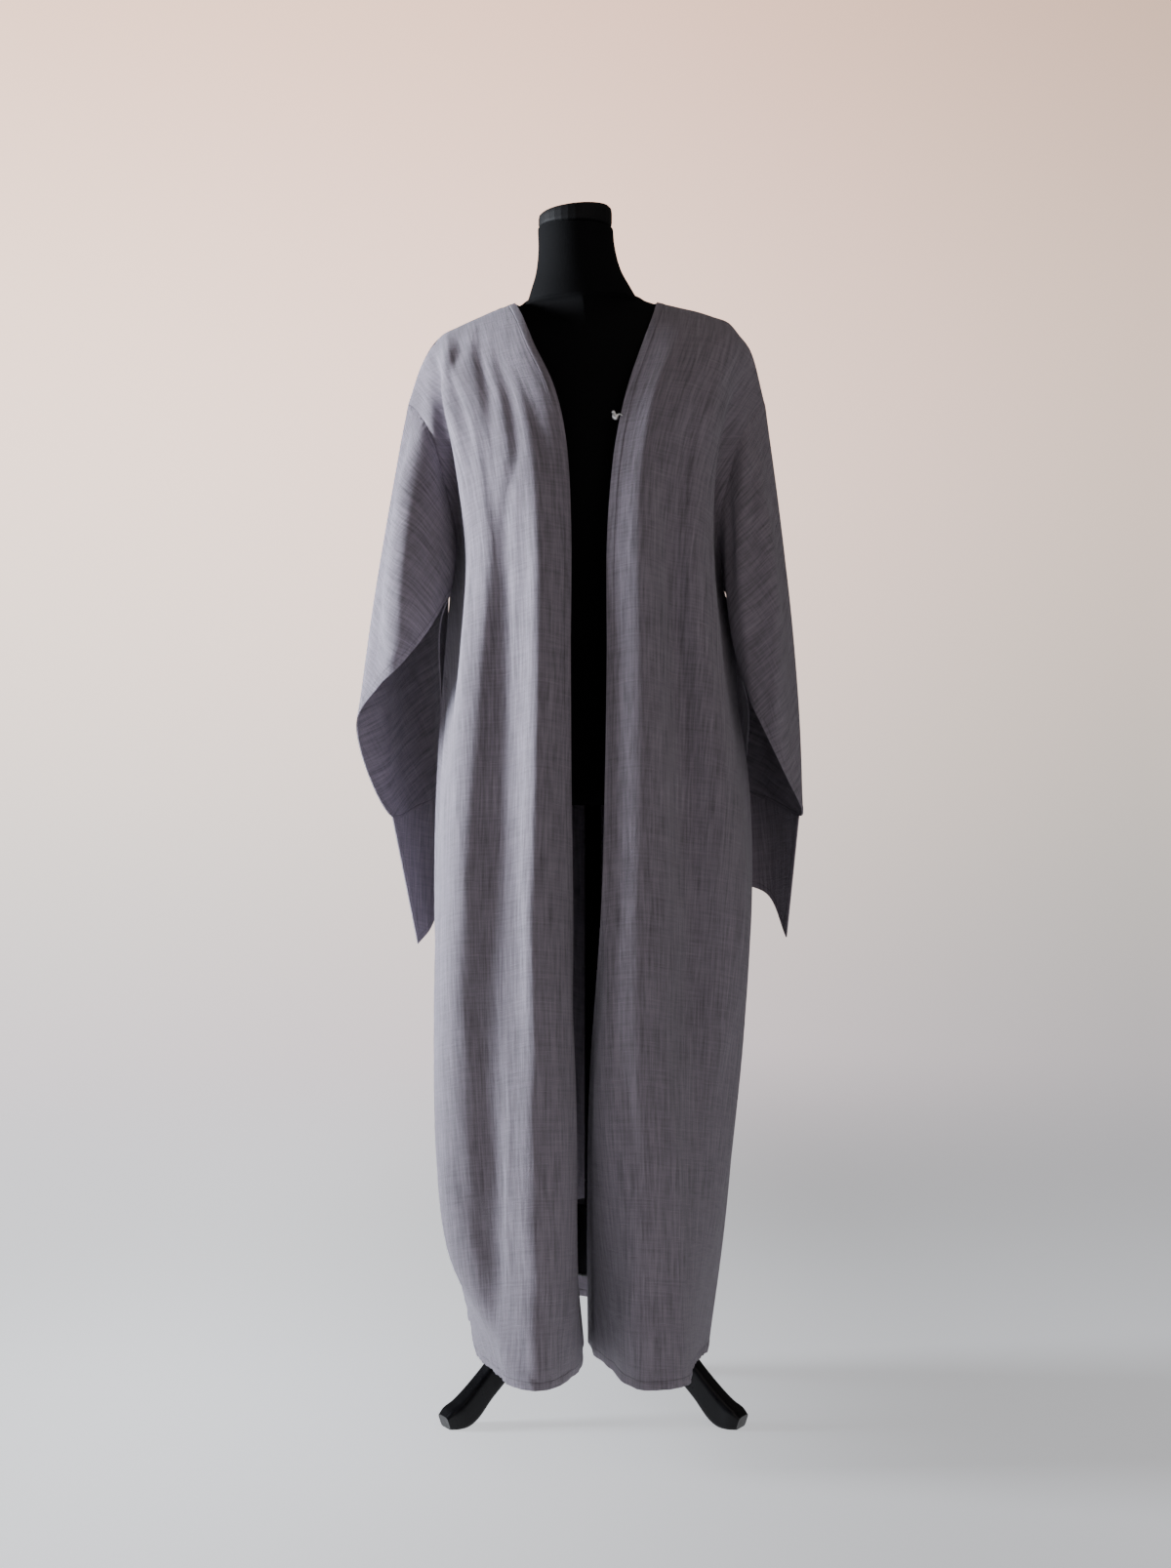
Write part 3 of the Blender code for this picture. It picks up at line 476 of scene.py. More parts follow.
class Nodes:
    """The nodes of a material or a world, and short ways to add to them."""

    def __init__(self, owner):
        owner.use_nodes = True
        self.owner, self.tree = owner, owner.node_tree

    def fill(self, node, inputs):
        """Give each input another node's output, a number or a colour."""
        for key, value in inputs.items():
            if hasattr(value, "is_linked"):
                self.tree.links.new(value, node.inputs[key])
            else:
                node.inputs[key].default_value = value

    def add(self, kind, inputs, output=0, **settings):
        """A new node's output."""
        node = self.tree.nodes.new(kind)
        for key, value in settings.items():
            setattr(node, key, value)
        self.fill(node, inputs)
        return node.outputs[output]

    def finished(self, **inputs):
        """The material, once its shader has these inputs; their names have _ for a space."""
        shader = self.tree.nodes["Principled BSDF"]
        self.fill(shader, {key.replace("_", " "): value for key, value in inputs.items()})
        return self.owner

    def place(self):
        return self.add("ShaderNodeTexCoord", {}, "Object")

    def part(self, vector, axis):
        return self.add("ShaderNodeSeparateXYZ", {0: vector}, axis)

    def math(self, operation, a, b=0.0):
        return self.add("ShaderNodeMath", {0: a, 1: b}, operation=operation)

    def total(self, *terms):
        """The sum of values, each with its factor."""
        made = None
        for value, factor in terms:
            term = self.math("MULTIPLY", value, factor)
            made = term if made is None else self.math("ADD", made, term)
        return made

    def noise(self, vector, scale, detail=2.0, roughness=.5):
        inputs = {"Vector": vector, "Scale": scale, "Detail": detail, "Roughness": roughness}
        return self.add("ShaderNodeTexNoise", inputs, "Fac")

    def stretched(self, vector, x, y, z=1.0):
        return self.add("ShaderNodeMapping", {"Vector": vector, "Scale": (x, y, z)})

    def remap(self, value, low, high, to_low, to_high, kind="LINEAR"):
        inputs = dict(enumerate((value, low, high, to_low, to_high)))
        return self.add("ShaderNodeMapRange", inputs, interpolation_type=kind)

    def soft(self, *values):
        return self.remap(*values, kind="SMOOTHSTEP")

    def multiply(self, a, b):
        """One colour times another."""
        inputs = {"Factor": 1.0, 6: a, 7: b}
        return self.add("ShaderNodeMix", inputs, 2, data_type="RGBA", blend_type="MULTIPLY")

    def shade(self, colour, factor):
        """A colour times a grey factor."""
        grey = self.add("ShaderNodeCombineColor", {0: factor, 1: factor, 2: factor})
        return self.multiply((*colour, 1.0), grey)

    def bump(self, height, strength, distance, **normal):
        inputs = {"Height": height, "Strength": strength, "Distance": distance}
        return self.add("ShaderNodeBump", {**inputs, **normal})


def material(name):
    return Nodes(bpy.data.materials.new(name))


LINEN = (.226, .197, .234)
JERSEY, CAP, LACQUER = (.0022, .0022, .0027), (.0045, .0045, .0052), (.0062, .0060, .0072)
SILVER, SEWING_THREAD = (.95, .95, .95), (.20, .19, .21)
THREAD = .00062  # from one thread of the weave to the next
# The groove of a stitch line: half its flat bottom, half its whole width, and how dark the cloth is painted
# in it, as painted shade in the groove.
GROOVE_FLAT, GROOVE_WIDE, GROOVE_PAINTED_SHADE = .0004, .0012, .80


def linen():
    """Slubby plain weave in mid grey: uneven threads both ways, soft sheen, and the hems' stitch lines, with
    painted shade in their grooves.
    """
    n = material("slub_linen")
    weave = n.add("ShaderNodeUVMap", {}, uv_map="weave")
    edges = n.add("ShaderNodeUVMap", {}, uv_map="edges")
    # Noise that is drawn out along the threads, in waves to a metre across and along the cloth.
    warp = n.noise(n.stretched(weave, 330, 18), 1.0, 3.0, .6)
    warp_broad = n.noise(n.stretched(weave, 120, 5), 1.0, 2.0, .55)
    weft = n.noise(n.stretched(weave, 20, 340), 1.0, 3.0, .6)
    weft_broad = n.noise(n.stretched(weave, 6, 120), 1.0)
    slub = n.soft(n.noise(n.stretched(weave, 24, 480), 1.0, 1.0), .64, .76, 0, 1)
    patch = n.noise(n.stretched(weave, 7, 5), 1.0)
    threads = []
    for axis in "XY":
        wave = n.math("SINE", n.math("MULTIPLY", n.part(weave, axis), 2 * math.pi / THREAD))
        threads.append(n.remap(wave, -1, 1, 0, 1))
    plain = n.math("MULTIPLY", *threads)
    tone = n.total((slub, .16), (plain, .10))
    for value, size in ((warp, .38), (warp_broad, .15), (weft, .15), (weft_broad, .05), (patch, .05)):
        tone = n.math("ADD", tone, n.remap(value, .25, .75, -size, size))
    tone = n.math("ADD", tone, .97)
    lines = []
    for axis in "XY":
        lines.append(n.soft(n.math("ABSOLUTE", n.part(edges, axis)), GROOVE_FLAT, GROOVE_WIDE, 1, 0))
    groove = n.math("MAXIMUM", *lines)
    # Painted shade: the cloth's colour is darker in the stitch lines' grooves.
    tone = n.math("MULTIPLY", tone, n.remap(groove, 0, 1, 1, GROOVE_PAINTED_SHADE))
    height = n.total((warp, .9), (weft, .8), (warp_broad, .8), (plain, .35), (slub, .6))
    fine = n.bump(height, .8, .0010)
    stitched = n.bump(n.math("MULTIPLY", groove, -1), .8, .0006, Normal=fine)
    return n.finished(
        Base_Color=n.shade(LINEN, tone), Normal=stitched,
        Roughness=n.remap(warp, .2, .8, .72, .9), Specular_IOR_Level=.25,
        Sheen_Weight=.25, Sheen_Roughness=.45, Sheen_Tint=(.9, .92, 1.0, 1.0),
    )


def jersey():
    """Black fine-knit jersey, stretched smooth, with a little lint."""
    n = material("black_jersey")
    place = n.place()
    ribs = n.noise(n.stretched(place, 900, 900, 140), 1.0)
    lint = n.soft(n.noise(place, 210, 2.0, .7), .62, .80, 0, 1)
    tone = n.math("ADD", n.remap(ribs, .3, .7, .8, 1.2), n.math("MULTIPLY", lint, .5))
    return n.finished(
        Base_Color=n.shade(JERSEY, tone), Normal=n.bump(ribs, .35, .0004), Roughness=.85,
        Specular_IOR_Level=.10, Sheen_Weight=.012, Sheen_Roughness=.4, Sheen_Tint=(.8, .82, .9, 1.0),
    )


def cap_cloth():
    """The neck cap's smooth black cover."""
    n = material("black_cap")
    grain = n.noise(n.place(), 700, 3.0, .6)
    return n.finished(
        Base_Color=n.shade(CAP, n.remap(grain, .3, .7, .8, 1.25)), Normal=n.bump(grain, .3, .0003),
        Roughness=.66, Specular_IOR_Level=.16, Sheen_Weight=.02, Sheen_Roughness=.4,
    )


def lacquered_wood():
    """Black lacquer over wood, with a faint grain along it and a few dull rubs."""
    n = material("black_wood")
    place = n.place()
    grain = n.noise(n.stretched(place, 60, 60, 9), 1.0, 4.0, .6)
    rubs = n.noise(place, 28, 3.0, .6)
    return n.finished(
        Base_Color=n.shade(LACQUER, n.remap(grain, .3, .7, .75, 1.3)), Normal=n.bump(grain, .10, .0006),
        Roughness=n.remap(rubs, .35, .7, .24, .42), Specular_IOR_Level=.16,
        Coat_Weight=.08, Coat_Roughness=.20,
    )


def silver():
    """Silver metal, finely worn."""
    n = material("silver_metal")
    wear = n.noise(n.place(), 900, 3.0, .6)
    return n.finished(
        Base_Color=n.shade(SILVER, n.remap(wear, .3, .7, .92, 1.05)),
        Roughness=n.remap(wear, .3, .7, .38, .52), Metallic=1.0,
    )


def sewing_thread():
    """Twisted grey thread."""
    n = material("sewing_thread")
    twist = n.noise(n.place(), 2500)
    return n.finished(
        Base_Color=n.shade(SEWING_THREAD, n.remap(twist, .3, .7, .7, 1.2)), Normal=n.bump(twist, .5, .0002),
        Roughness=.7,
    )


# ---- the cloak

# Soft folds that run down the cloth. Each has its width, and then places along it: how far down, how far
# across and how high, in metres in the cloth; a height under 0 is a trough.
RIGHT_RUNS = (
    (.024, (.3, .152, 0), (.403, .15, .003), (.483, .152, .0045), (.601, .158, .006), (.695, .162, .006),
           (.813, .168, .007), (.906, .175, .007), (1.002, .192, .008), (1.118, .214, .008),
           (1.24, .238, .008), (1.366, .276, .006), (1.49, .31, .003)),
    (.036, (.9, .225, 0), (1.06, .24, .007), (1.19, .258, .013), (1.32, .28, .014), (1.42, .3, .008),
           (1.51, .33, .002)),
    (.0036, (1.06, .134, 0), (1.181, .146, .001), (1.297, .182, .0014), (1.361, .207, .0015),
            (1.47, .299, .0013), (1.56, .34, .0008)),
    (.02, (.34, .098, 0), (.416, .101, -.001), (.488, .107, -.001), (.604, .112, -.001),
           (.699, .116, -.0015), (.815, .122, -.002), (.909, .13, -.002), (1.004, .143, -.002),
           (1.121, .166, -.003), (1.244, .186, -.004), (1.369, .229, -.003), (1.48, .27, -.002)),
    # From the shoulder, along the armhole and beside the neck.
    (.011, (.06, .09, 0), (.1, .098, -.003), (.148, .12, -.004), (.19, .128, -.005),
           (.235, .132, -.003), (.31, .135, 0)),
    (.01, (.06, .06, 0), (.1, .069, -.003), (.148, .079, -.005), (.19, .087, -.005),
           (.24, .095, -.003), (.33, .1, 0)),
    (.01, (.05, .038, 0), (.1, .043, -.0024), (.148, .05, -.003), (.19, .057, -.003),
           (.235, .064, -.0034), (.295, .07, -.003), (.33, .08, -.003), (.367, .092, -.003),
           (.43, .1, 0)),
    (.009, (.05, .015, 0), (.1, .022, -.001), (.148, .036, -.0015), (.19, .036, -.0016),
           (.235, .034, -.002), (.297, .03, -.0015), (.344, .026, -.001), (.48, .023, 0)),
    (.014, (.05, .118, -.001), (.1, .138, -.007), (.148, .159, -.015), (.191, .185, -.014),
           (.234, .202, -.008), (.291, .236, -.003), (.34, .255, 0)),
    (.032, (.02, 0, .003), (.07, 0, .009), (.13, 0, .01), (.22, 0, .009), (.33, 0, .004), (.46, 0, 0)),
    (.034, (.08, .068, 0), (.13, .07, -.004), (.18, .073, -.005), (.24, .079, -.003), (.32, .085, 0)),
    (.011, (.5, .3, 0), (.56, .318, -.006), (.66, .33, -.009), (.75, .338, -.009), (.85, .35, -.007),
           (.95, .36, 0)),
)
LEFT_RUNS = (
    (.03, (.12, .062, 0), (.24, .06, .003), (.33, .056, .005), (.55, .056, .006), (.8, .058, .006),
           (1, .062, .006), (1.2, .066, .0056), (1.36, .07, .005), (1.55, .07, .004)),
    (.024, (.28, .118, 0), (.39, .114, .0046), (.522, .128, .0052), (.596, .15, .0056),
           (.676, .164, .006), (.747, .172, .006), (.851, .184, .0054), (.953, .21, .0044),
           (1.12, .24, 0)),
    (.022, (.26, .062, 0), (.394, .082, -.0036), (.473, .102, -.005), (.577, .111, -.0056),
           (.685, .119, -.0056), (.756, .121, -.0056), (.862, .124, -.005), (.965, .141, -.004),
           (1.06, .165, -.0034), (1.25, .21, 0)),
    (.012, (.96, .118, 0), (1.049, .136, .0022), (1.18, .182, .0032), (1.312, .227, .0034),
           (1.417, .267, .0034), (1.52, .33, .002)),
    (.0036, (1.08, .15, 0), (1.18, .182, .001), (1.295, .223, .0015), (1.372, .258, .0016),
            (1.484, .324, .0014), (1.56, .35, .0008)),
    # From the shoulder.
    (.03, (.02, .085, 0), (.1, .088, .004), (.18, .095, .005), (.26, .115, .004), (.36, .13, 0)),
    (.011, (.06, .062, 0), (.168, .062, -.0014), (.206, .059, -.0018), (.261, .061, -.0016),
           (.38, .072, 0)),
    (.012, (.05, .088, 0), (.145, .094, -.0018), (.193, .103, -.0018), (.259, .117, -.0014), (.36, .14, 0)),
    (.01, (.08, .032, 0), (.17, .036, .0012), (.25, .04, .0012), (.36, .046, 0)),
)
BACK_RUNS = (
    (.024, (.5, -.225, 0), (.8, -.23, .004), (1.1, -.24, .003), (1.28, -.25, -.002),
           (1.4, -.255, -.005), (1.54, -.255, -.006)),
    (.024, (.62, -.155, 0), (.9, -.165, .005), (1.18, -.185, .008), (1.52, -.2, .009)),
    (.026, (.42, -.085, 0), (.75, -.085, -.004), (1.05, -.095, -.007), (1.3, -.1, -.008),
           (1.52, -.11, -.006)),
    (.028, (.7, -.01, 0), (.95, -.015, .004), (1.22, -.02, .007), (1.52, -.01, .008)),
    (.022, (.48, .085, 0), (.8, .095, -.005), (1.12, .115, -.008), (1.52, .14, -.009)),
    (.026, (.6, .165, 0), (.9, .185, .005), (1.2, .21, .009), (1.52, .235, .01)),
    (.024, (.55, .255, 0), (.9, .28, -.004), (1.2, .3, -.006), (1.52, .325, -.006)),
    (.04, (1.08, -.345, 0), (1.25, -.345, -.003), (1.4, -.34, -.007), (1.54, -.34, -.008)),
    # From the shoulders.
    (.018, (.05, -.12, 0), (.14, -.125, -.003), (.28, -.14, -.004), (.46, -.15, 0)),
    (.015, (.08, -.065, 0), (.18, -.07, -.0025), (.32, -.085, -.003), (.48, -.09, 0)),
    (.016, (.06, .1, 0), (.16, .11, -.003), (.3, .12, -.004), (.44, .14, 0)),
)
RIGHT_SLEEVE_RUNS = (
    (.03, (.02, .08, 0), (.09, .092, .008), (.142, .104, .013), (.207, .115, .014), (.264, .115, .014),
           (.32, .112, .012), (.42, .11, .005), (.48, .11, 0)),
    (.018, (.1, .16, 0), (.16, .165, -.002), (.24, .172, -.003), (.34, .17, 0)),
)
LEFT_SLEEVE_RUNS = (
    (.014, (.03, .1, 0), (.079, .111, .002), (.136, .137, .003), (.187, .148, .003), (.242, .161, .003),
           (.293, .17, .0024), (.341, .186, .0016), (.4, .19, 0)),
    (.015, (.03, .075, 0), (.072, .08, -.0018), (.135, .11, -.0024), (.193, .126, -.003),
           (.246, .134, -.003), (.299, .138, -.003), (.346, .142, -.0024), (.42, .14, 0)),
    (.022, (.14, .085, 0), (.214, .088, .002), (.297, .096, .003), (.35, .093, .0036), (.402, .093, .0036),
           (.455, .095, .003), (.51, .08, .002), (.58, .07, 0)),
)

# Soft waves in the cloth: height, width, length and phase.
FRONT_RIPPLES = ((.0016, .115, .9, 0), (.0006, .043, .45, 2))
BACK_RIPPLES = ((.0018, .13, 1.1, .7), (.0006, .05, .5, 4.1))
SLEEVE_RIPPLES = ((.0015, .10, .5, 0),)
PUCKER = .0007  # how high the cloth puckers at a hem or an armhole
PUCKER_FADE = (.012, .022)  # how far up from the hem this starts to fade, and ends
NO_LINE = .1  # a distance with no stitch line near
SLEEVE_TURN_DEG, POINT_TURN_DEG = -58, -8  # how far the weave is turned
LEAN = .15  # how much a front's weave leans past its crest
# The left side seam stands out a little more below the armhole: how far, how far from the seam this reaches,
# and the heights that it begins at, is full between and ends at.
SIDE_OUT, SIDE_REACH = np.array((0.009, 0.0, 0.0)), .05
SIDE_HEIGHTS = (.96, 1.06, 1.09, 1.165)


def threads(across, down, turn_deg=0.0):
    """The weave's own coordinates, along the weft and the warp, turned in the cloth."""
    turn = math.radians(turn_deg)
    return np.stack([across * math.cos(turn) + down * math.sin(turn),
                     across * math.sin(turn) - down * math.cos(turn)], 2)


def stand_in(made, node):
    """Put a piece on the body, in the place of a CAD node."""
    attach(made, "root")
    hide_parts(node)


def dress(node, panel, turned, weave, edges, look):
    """Make a cloth piece from its panel; turned is 1 where the cloth is turned over and 0 elsewhere."""
    name = "cloth_" + node.replace("sleeve_point", "point")
    half_wall = CLOTH / 2 * (1 + TURNED * turned)
    made = shell(name, panel, half_wall, weave, edges, look, flip=node.endswith("left"))
    stand_in(made, node)


def within(distance, edge, blur):
    """1 nearer than edge, 0 farther away, smooth over blur on both sides."""
    return 1 - away(distance, edge - blur, edge + blur)


def fill_side(panel, from_seam):
    z = panel.grid[..., 2]
    fuller = away(z, *SIDE_HEIGHTS[:2]) * (1 - away(z, *SIDE_HEIGHTS[2:]))
    panel.grid = panel.grid + SIDE_OUT * (fuller * np.exp(-((from_seam / SIDE_REACH) ** 2)))[:, :, None]


def push_ripples(panel, across, down, ripples, phase, calm):
    for height, wide, long, shift in ripples:
        panel.push(calm * height * ripple(across, down, wide, long, phase + shift))


def push_pucker(panel, across, where, long, beat):
    """Small waves along a hem or a seam, of that length, made uneven by beat."""
    panel.push(PUCKER * where * np.sin(across / long * 2 * math.pi + 2 * np.sin(across * beat)))


def front_piece(node, panel, runs, phase, look):
    across, down = panel.across, panel.down + panel.started
    from_seam = across[:, -1:] - across
    crest = CREST * COLUMNS
    past_crest = across - across[:, crest : crest + 1]
    lean = LEAN * away(past_crest, .02, .20) * (down - .5)
    calm = away(across, .02, .07) * away(from_seam, .01, .06) * away(panel.down, .01, .10)
    push_ripples(panel, across, down, FRONT_RIPPLES, phase, calm)
    for run in runs:
        panel.push(run_of(panel, run) * away(from_seam, 0, .016))
    if node == "front_left":
        fill_side(panel, from_seam)
    push_pucker(panel, across, 1 - away(panel.up, *PUCKER_FADE), .0145, 31)
    turned = np.maximum(within(across, EDGE_DEPTH, .0008), within(panel.up, HEM_DEPTH, .0006))
    edges = np.stack([across - EDGE_DEPTH, panel.up - HEM_DEPTH], 2)
    dress(node, panel, turned, threads(past_crest + lean, down), edges, look)


def back_piece(panel, look):
    across, down = panel.across, panel.down + panel.started
    from_left = across[:, -1:] - across
    from_side = np.minimum(across - across[:, :1], from_left)
    calm = away(from_side, .01, .07) * away(panel.down, .02, .12)
    push_ripples(panel, across, down, BACK_RIPPLES, 0, calm)
    for run in BACK_RUNS:
        panel.push(run_of(panel, run) * away(from_side, 0, .03))
    fill_side(panel, from_left)
    push_pucker(panel, across, 1 - away(panel.up, *PUCKER_FADE), .0150, 29)
    edges = np.stack([np.full_like(across, NO_LINE), panel.up - HEM_DEPTH], 2)
    dress("back", panel, within(panel.up, HEM_DEPTH, .0006), threads(across, down), edges, look)


def sleeve_piece(node, panel, runs, phase, look):
    weave = threads(panel.across, panel.down + panel.started, SLEEVE_TURN_DEG)
    across, down, up = (panel.trimmed(values) for values in (panel.across, panel.down, panel.up))
    push_ripples(panel, across, down, SLEEVE_RIPPLES, phase, away(down, .01, .06) * away(up, .01, .05))
    for run in runs:
        panel.push(run_of(panel, run) * away(down, 0, .02) * away(up, 0, .02))
    push_pucker(panel, across, 1 - away(down, .004, .03), .013, 37)
    steps = across.shape[1] // len(RIGHT_MOUTH)
    columns = np.arange(across.shape[1] + 1)
    hemmed = (columns <= POINT_FIRST * steps) | (columns >= POINT_LAST * steps)
    turned = within(panel.up, HEM_DEPTH, .0015) * hemmed
    to_line = panel.up - np.where(hemmed, HEM_DEPTH, POINT_SEAM)
    edges = np.stack([np.full_like(to_line, NO_LINE), to_line], 2)
    dress(node, panel, panel.trimmed(turned), weave, edges, look)


def point_piece(node, panel, look):
    across, up = panel.across, panel.up
    from_side = np.minimum(across, across[:, -1:] - across)
    turned = within(np.minimum(from_side, up), POINT_DEPTH, .001)
    edges = np.stack([from_side - POINT_DEPTH, np.minimum(up - POINT_DEPTH, NO_LINE)], 2)
    weave = threads(across, panel.down + panel.started, POINT_TURN_DEG)
    dress(node, panel, turned, weave, edges, look)


def make_cloak():
    """The seven pieces of the cloak. The hook is placed by the left front's points, which this gives back."""
    look = linen()
    right = front_grid(RIGHT_FRONT, RIGHT_FALL, -1)
    left = front_grid(LEFT_FRONT, LEFT_FALL, 1)
    back = back_grid(right, left)
    right_sleeve = sleeve_grid(right, back[:, 0], RIGHT_MOUTH, -1)
    left_sleeve = sleeve_grid(left, back[:, -1], LEFT_MOUTH, 1)
    front_piece("front_right", Panel(right, -1), RIGHT_RUNS, .3, look)
    front_piece("front_left", Panel(left, 1), LEFT_RUNS, 1.9, look)
    back_piece(Panel(back, -1, centre=back.shape[1] // 2), look)
    sleeve_piece("sleeve_right", Panel(right_sleeve, 1, tube=True), RIGHT_SLEEVE_RUNS, .9, look)
    sleeve_piece("sleeve_left", Panel(left_sleeve, -1, tube=True), LEFT_SLEEVE_RUNS, 2.6, look)
    point_piece("sleeve_point_right", Panel(point_grid(right_sleeve, RIGHT_POINT, -1), 1), look)
    point_piece("sleeve_point_left", Panel(point_grid(left_sleeve, LEFT_POINT, 1), -1), look)
    return left


# ---- the form, the stand and the hook


def power_of(values, power):
    return np.sign(values) * np.abs(values) ** power


def make_form():
    turns = np.linspace(0, 2 * math.pi, FORM_SIDES, endpoint=False)
    places = np.arange((len(FORM) - 1) * FORM_STEPS + 1) / FORM_STEPS
    z, x, y, half_width, half_depth, power = smooth(FORM, places).T[:, :, None]
    lean = half_width * np.cos(turns) * FORM_TILT
    lean[[0, -1]] = 0  # its ends are level
    rings = np.stack([
        x + half_width * power_of(np.cos(turns), 2 / power),
        y + half_depth * power_of(np.sin(turns), 2 / power),
        z + lean,
    ], 2)
    stand_in(loft("jersey_form", rings + BODY_PLACE, jersey()), "form_torso")


def make_legs(look):
    line = smooth(LEG, np.linspace(0, len(LEG) - 1, LEG_STEPS + 1))
    along = unit_of(np.gradient(line[:, :2], axis=0))
    along[0] = (1, 0)
    turns = 2 * math.pi * (np.arange(LEG_SIDES) + .5) / LEG_SIDES
    for node, degrees in zip(("leg_right", "leg_left", "leg_back"), LEG_TURNS_DEG):
        turn = math.radians(degrees)
        out = np.array((math.sin(turn), -math.cos(turn), 0))
        side = np.array((math.cos(turn), math.sin(turn), 0))
        rings = []
        for (place, z, half_height, half_width), (run, rise) in zip(line, along):
            across = half_width * power_of(np.cos(turns), LEG_ROUNDING)
            up = half_height * power_of(np.sin(turns), LEG_ROUNDING)
            ring = out * (place - rise * up)[:, None] + side * across[:, None]
            ring[:, 0] += POLE_X
            ring[:, 2] = np.maximum(0.0, z + run * up)
            rings.append(ring + BODY_PLACE)
        stand_in(loft("lacquered_" + node, rings, look, 35), node)


def tube(name, line, radii, sides, look):
    """A round solid along a bent line."""
    line = np.asarray(line)
    along = unit_of(np.gradient(line, axis=0))
    first = np.cross(along[0], (0, 0, 1.0))
    if np.linalg.norm(first) < .2:
        first = np.cross(along[0], (0, 1.0, 0))
    rings = []
    turns = 2 * math.pi * np.arange(sides) / sides
    for centre, run, radius in zip(line, along, radii):
        first = unit_of(first - run * (first @ run))
        second = np.cross(run, first)
        rings.append([centre + radius * (first * math.cos(t) + second * math.sin(t)) for t in turns])
    return loft(name, rings, look, 60)


def make_hook(left):
    """The bent silver hook on the left front's edge, and the stitches that hold it."""
    edge = left[:, 0]
    below = int(np.argmax(edge[:, 2] < HOOK_Z))
    share = (edge[below - 1, 2] - HOOK_Z) / (edge[below - 1, 2] - edge[below, 2])
    place = edge[below - 1] * (1 - share) + edge[below] * share
    out = unit_of(np.cross(edge[below + 1] - edge[below - 1], left[below, BESIDE_EDGE] - left[below, 0]))
    if out[1] > 0:
        out = -out
    out = unit_of(out * (1, 1, 0))
    past = np.cross((0, 0, 1), -out)
    fine = smooth(HOOK, np.linspace(0, len(HOOK) - 1, HOOK_STEPS + 1))
    line = place + out * (SOLID_HALF_WALL + SEWN_RADIUS + TOUCH_GAP) + BODY_PLACE
    line = line + fine[:, :1] * past + fine[:, 1:2] * np.array((0, 0, 1.0))
    stand_in(tube("silver_hook", line, fine[:, 2] * WIRE_SCALE, WIRE_SIDES, silver()), "hook")
    thread = sewing_thread()
    radius = SEWN_RADIUS + TOUCH_GAP
    for n, at in enumerate(STITCHES_AT):
        aside = np.cross(unit_of(line[at + 1] - line[at - 1]), out)
        turns = np.linspace(-STITCH_TURN, STITCH_TURN, STITCH_STEPS + 1)
        loop = [line[at] + radius * (out * math.cos(t) + aside * math.sin(t) * STITCH_WIDTH) for t in turns]
        stitch = tube(f"hook_stitch_{n}", loop, [STITCH_RADIUS] * len(turns), STITCH_SIDES, thread)
        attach(stitch, "root")


def finish_cad(wood):
    """The CAD pieces whose shape stays, with their finish."""
    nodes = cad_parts
    for name, look in (("pole", wood), ("hub", wood), ("neck_cap", cap_cloth())):
        nodes[name].data.materials.clear()
        nodes[name].data.materials.append(look)


# ---- the studio


# The camera, worked out from the photograph: its focal length and the photograph's height in pixels, how far
# it stands before the form's axis, and how high.
FOCAL_PIXELS, PHOTO_PIXELS = 2300, 1607
CAMERA_DISTANCE, CAMERA_HEIGHT = 3.15, .871
SENSOR = 36


def make_camera():
    lens = bpy.data.cameras.new("camera")
    lens.lens = SENSOR * FOCAL_PIXELS / PHOTO_PIXELS
    lens.sensor_width = SENSOR
    lens.clip_start, lens.clip_end = .05, 100
    camera = bpy.data.objects.new("camera", lens)
    camera.location = (BODY_PLACE[0], BODY_PLACE[1] - CAMERA_DISTANCE, CAMERA_HEIGHT)
    camera.rotation_euler = (math.pi / 2, 0, 0)
    bpy.context.scene.collection.objects.link(camera)
    bpy.context.scene.camera = camera


# The floor: its colour, and its painted light, a glow that stands in for the window's light and lightens the
# shadows on it: its colour and how it falls from X to X and from strength to strength, stronger on the
# window's side; and the distances between which it fades into the surroundings.
FLOOR_COLOUR, FLOOR_PAINTED_LIGHT = (.55, .545, .55), (.945, .960, 1.0, 1.0)
FLOOR_PAINTED_LIGHT_FALL = (-.80, .60, 1.20, .48)
FLOOR_FADE = (1.0, 4.6)
FLOOR_RADIUS, FLOOR_BELOW = 14, .0004


def make_floor():
    """A pale floor that fades into the pale surroundings, and glows with painted light, stronger on the
    window's side.
    """
    bpy.ops.mesh.primitive_circle_add(
        vertices=96, radius=FLOOR_RADIUS, fill_type="NGON", location=(0, 0, -FLOOR_BELOW)
    )
    floor = bpy.context.object
    floor.name = "floor"
    n = material("pale_floor_painted_light")
    place = n.place()
    mottle = n.noise(place, 1.3, 3.0)
    far = n.add("ShaderNodeVectorMath", {0: place}, "Value", operation="LENGTH")
    floor.data.materials.append(n.finished(
        Base_Color=n.shade(FLOOR_COLOUR, n.remap(mottle, .3, .7, .985, 1.015)), Roughness=.75,
        # Painted light: the floor glows, stronger towards the window's side.
        Emission_Color=FLOOR_PAINTED_LIGHT, Emission_Strength=n.soft(n.part(place, "X"), *FLOOR_PAINTED_LIGHT_FALL),
        Alpha=n.soft(far, *FLOOR_FADE, 1, 0),
    ))


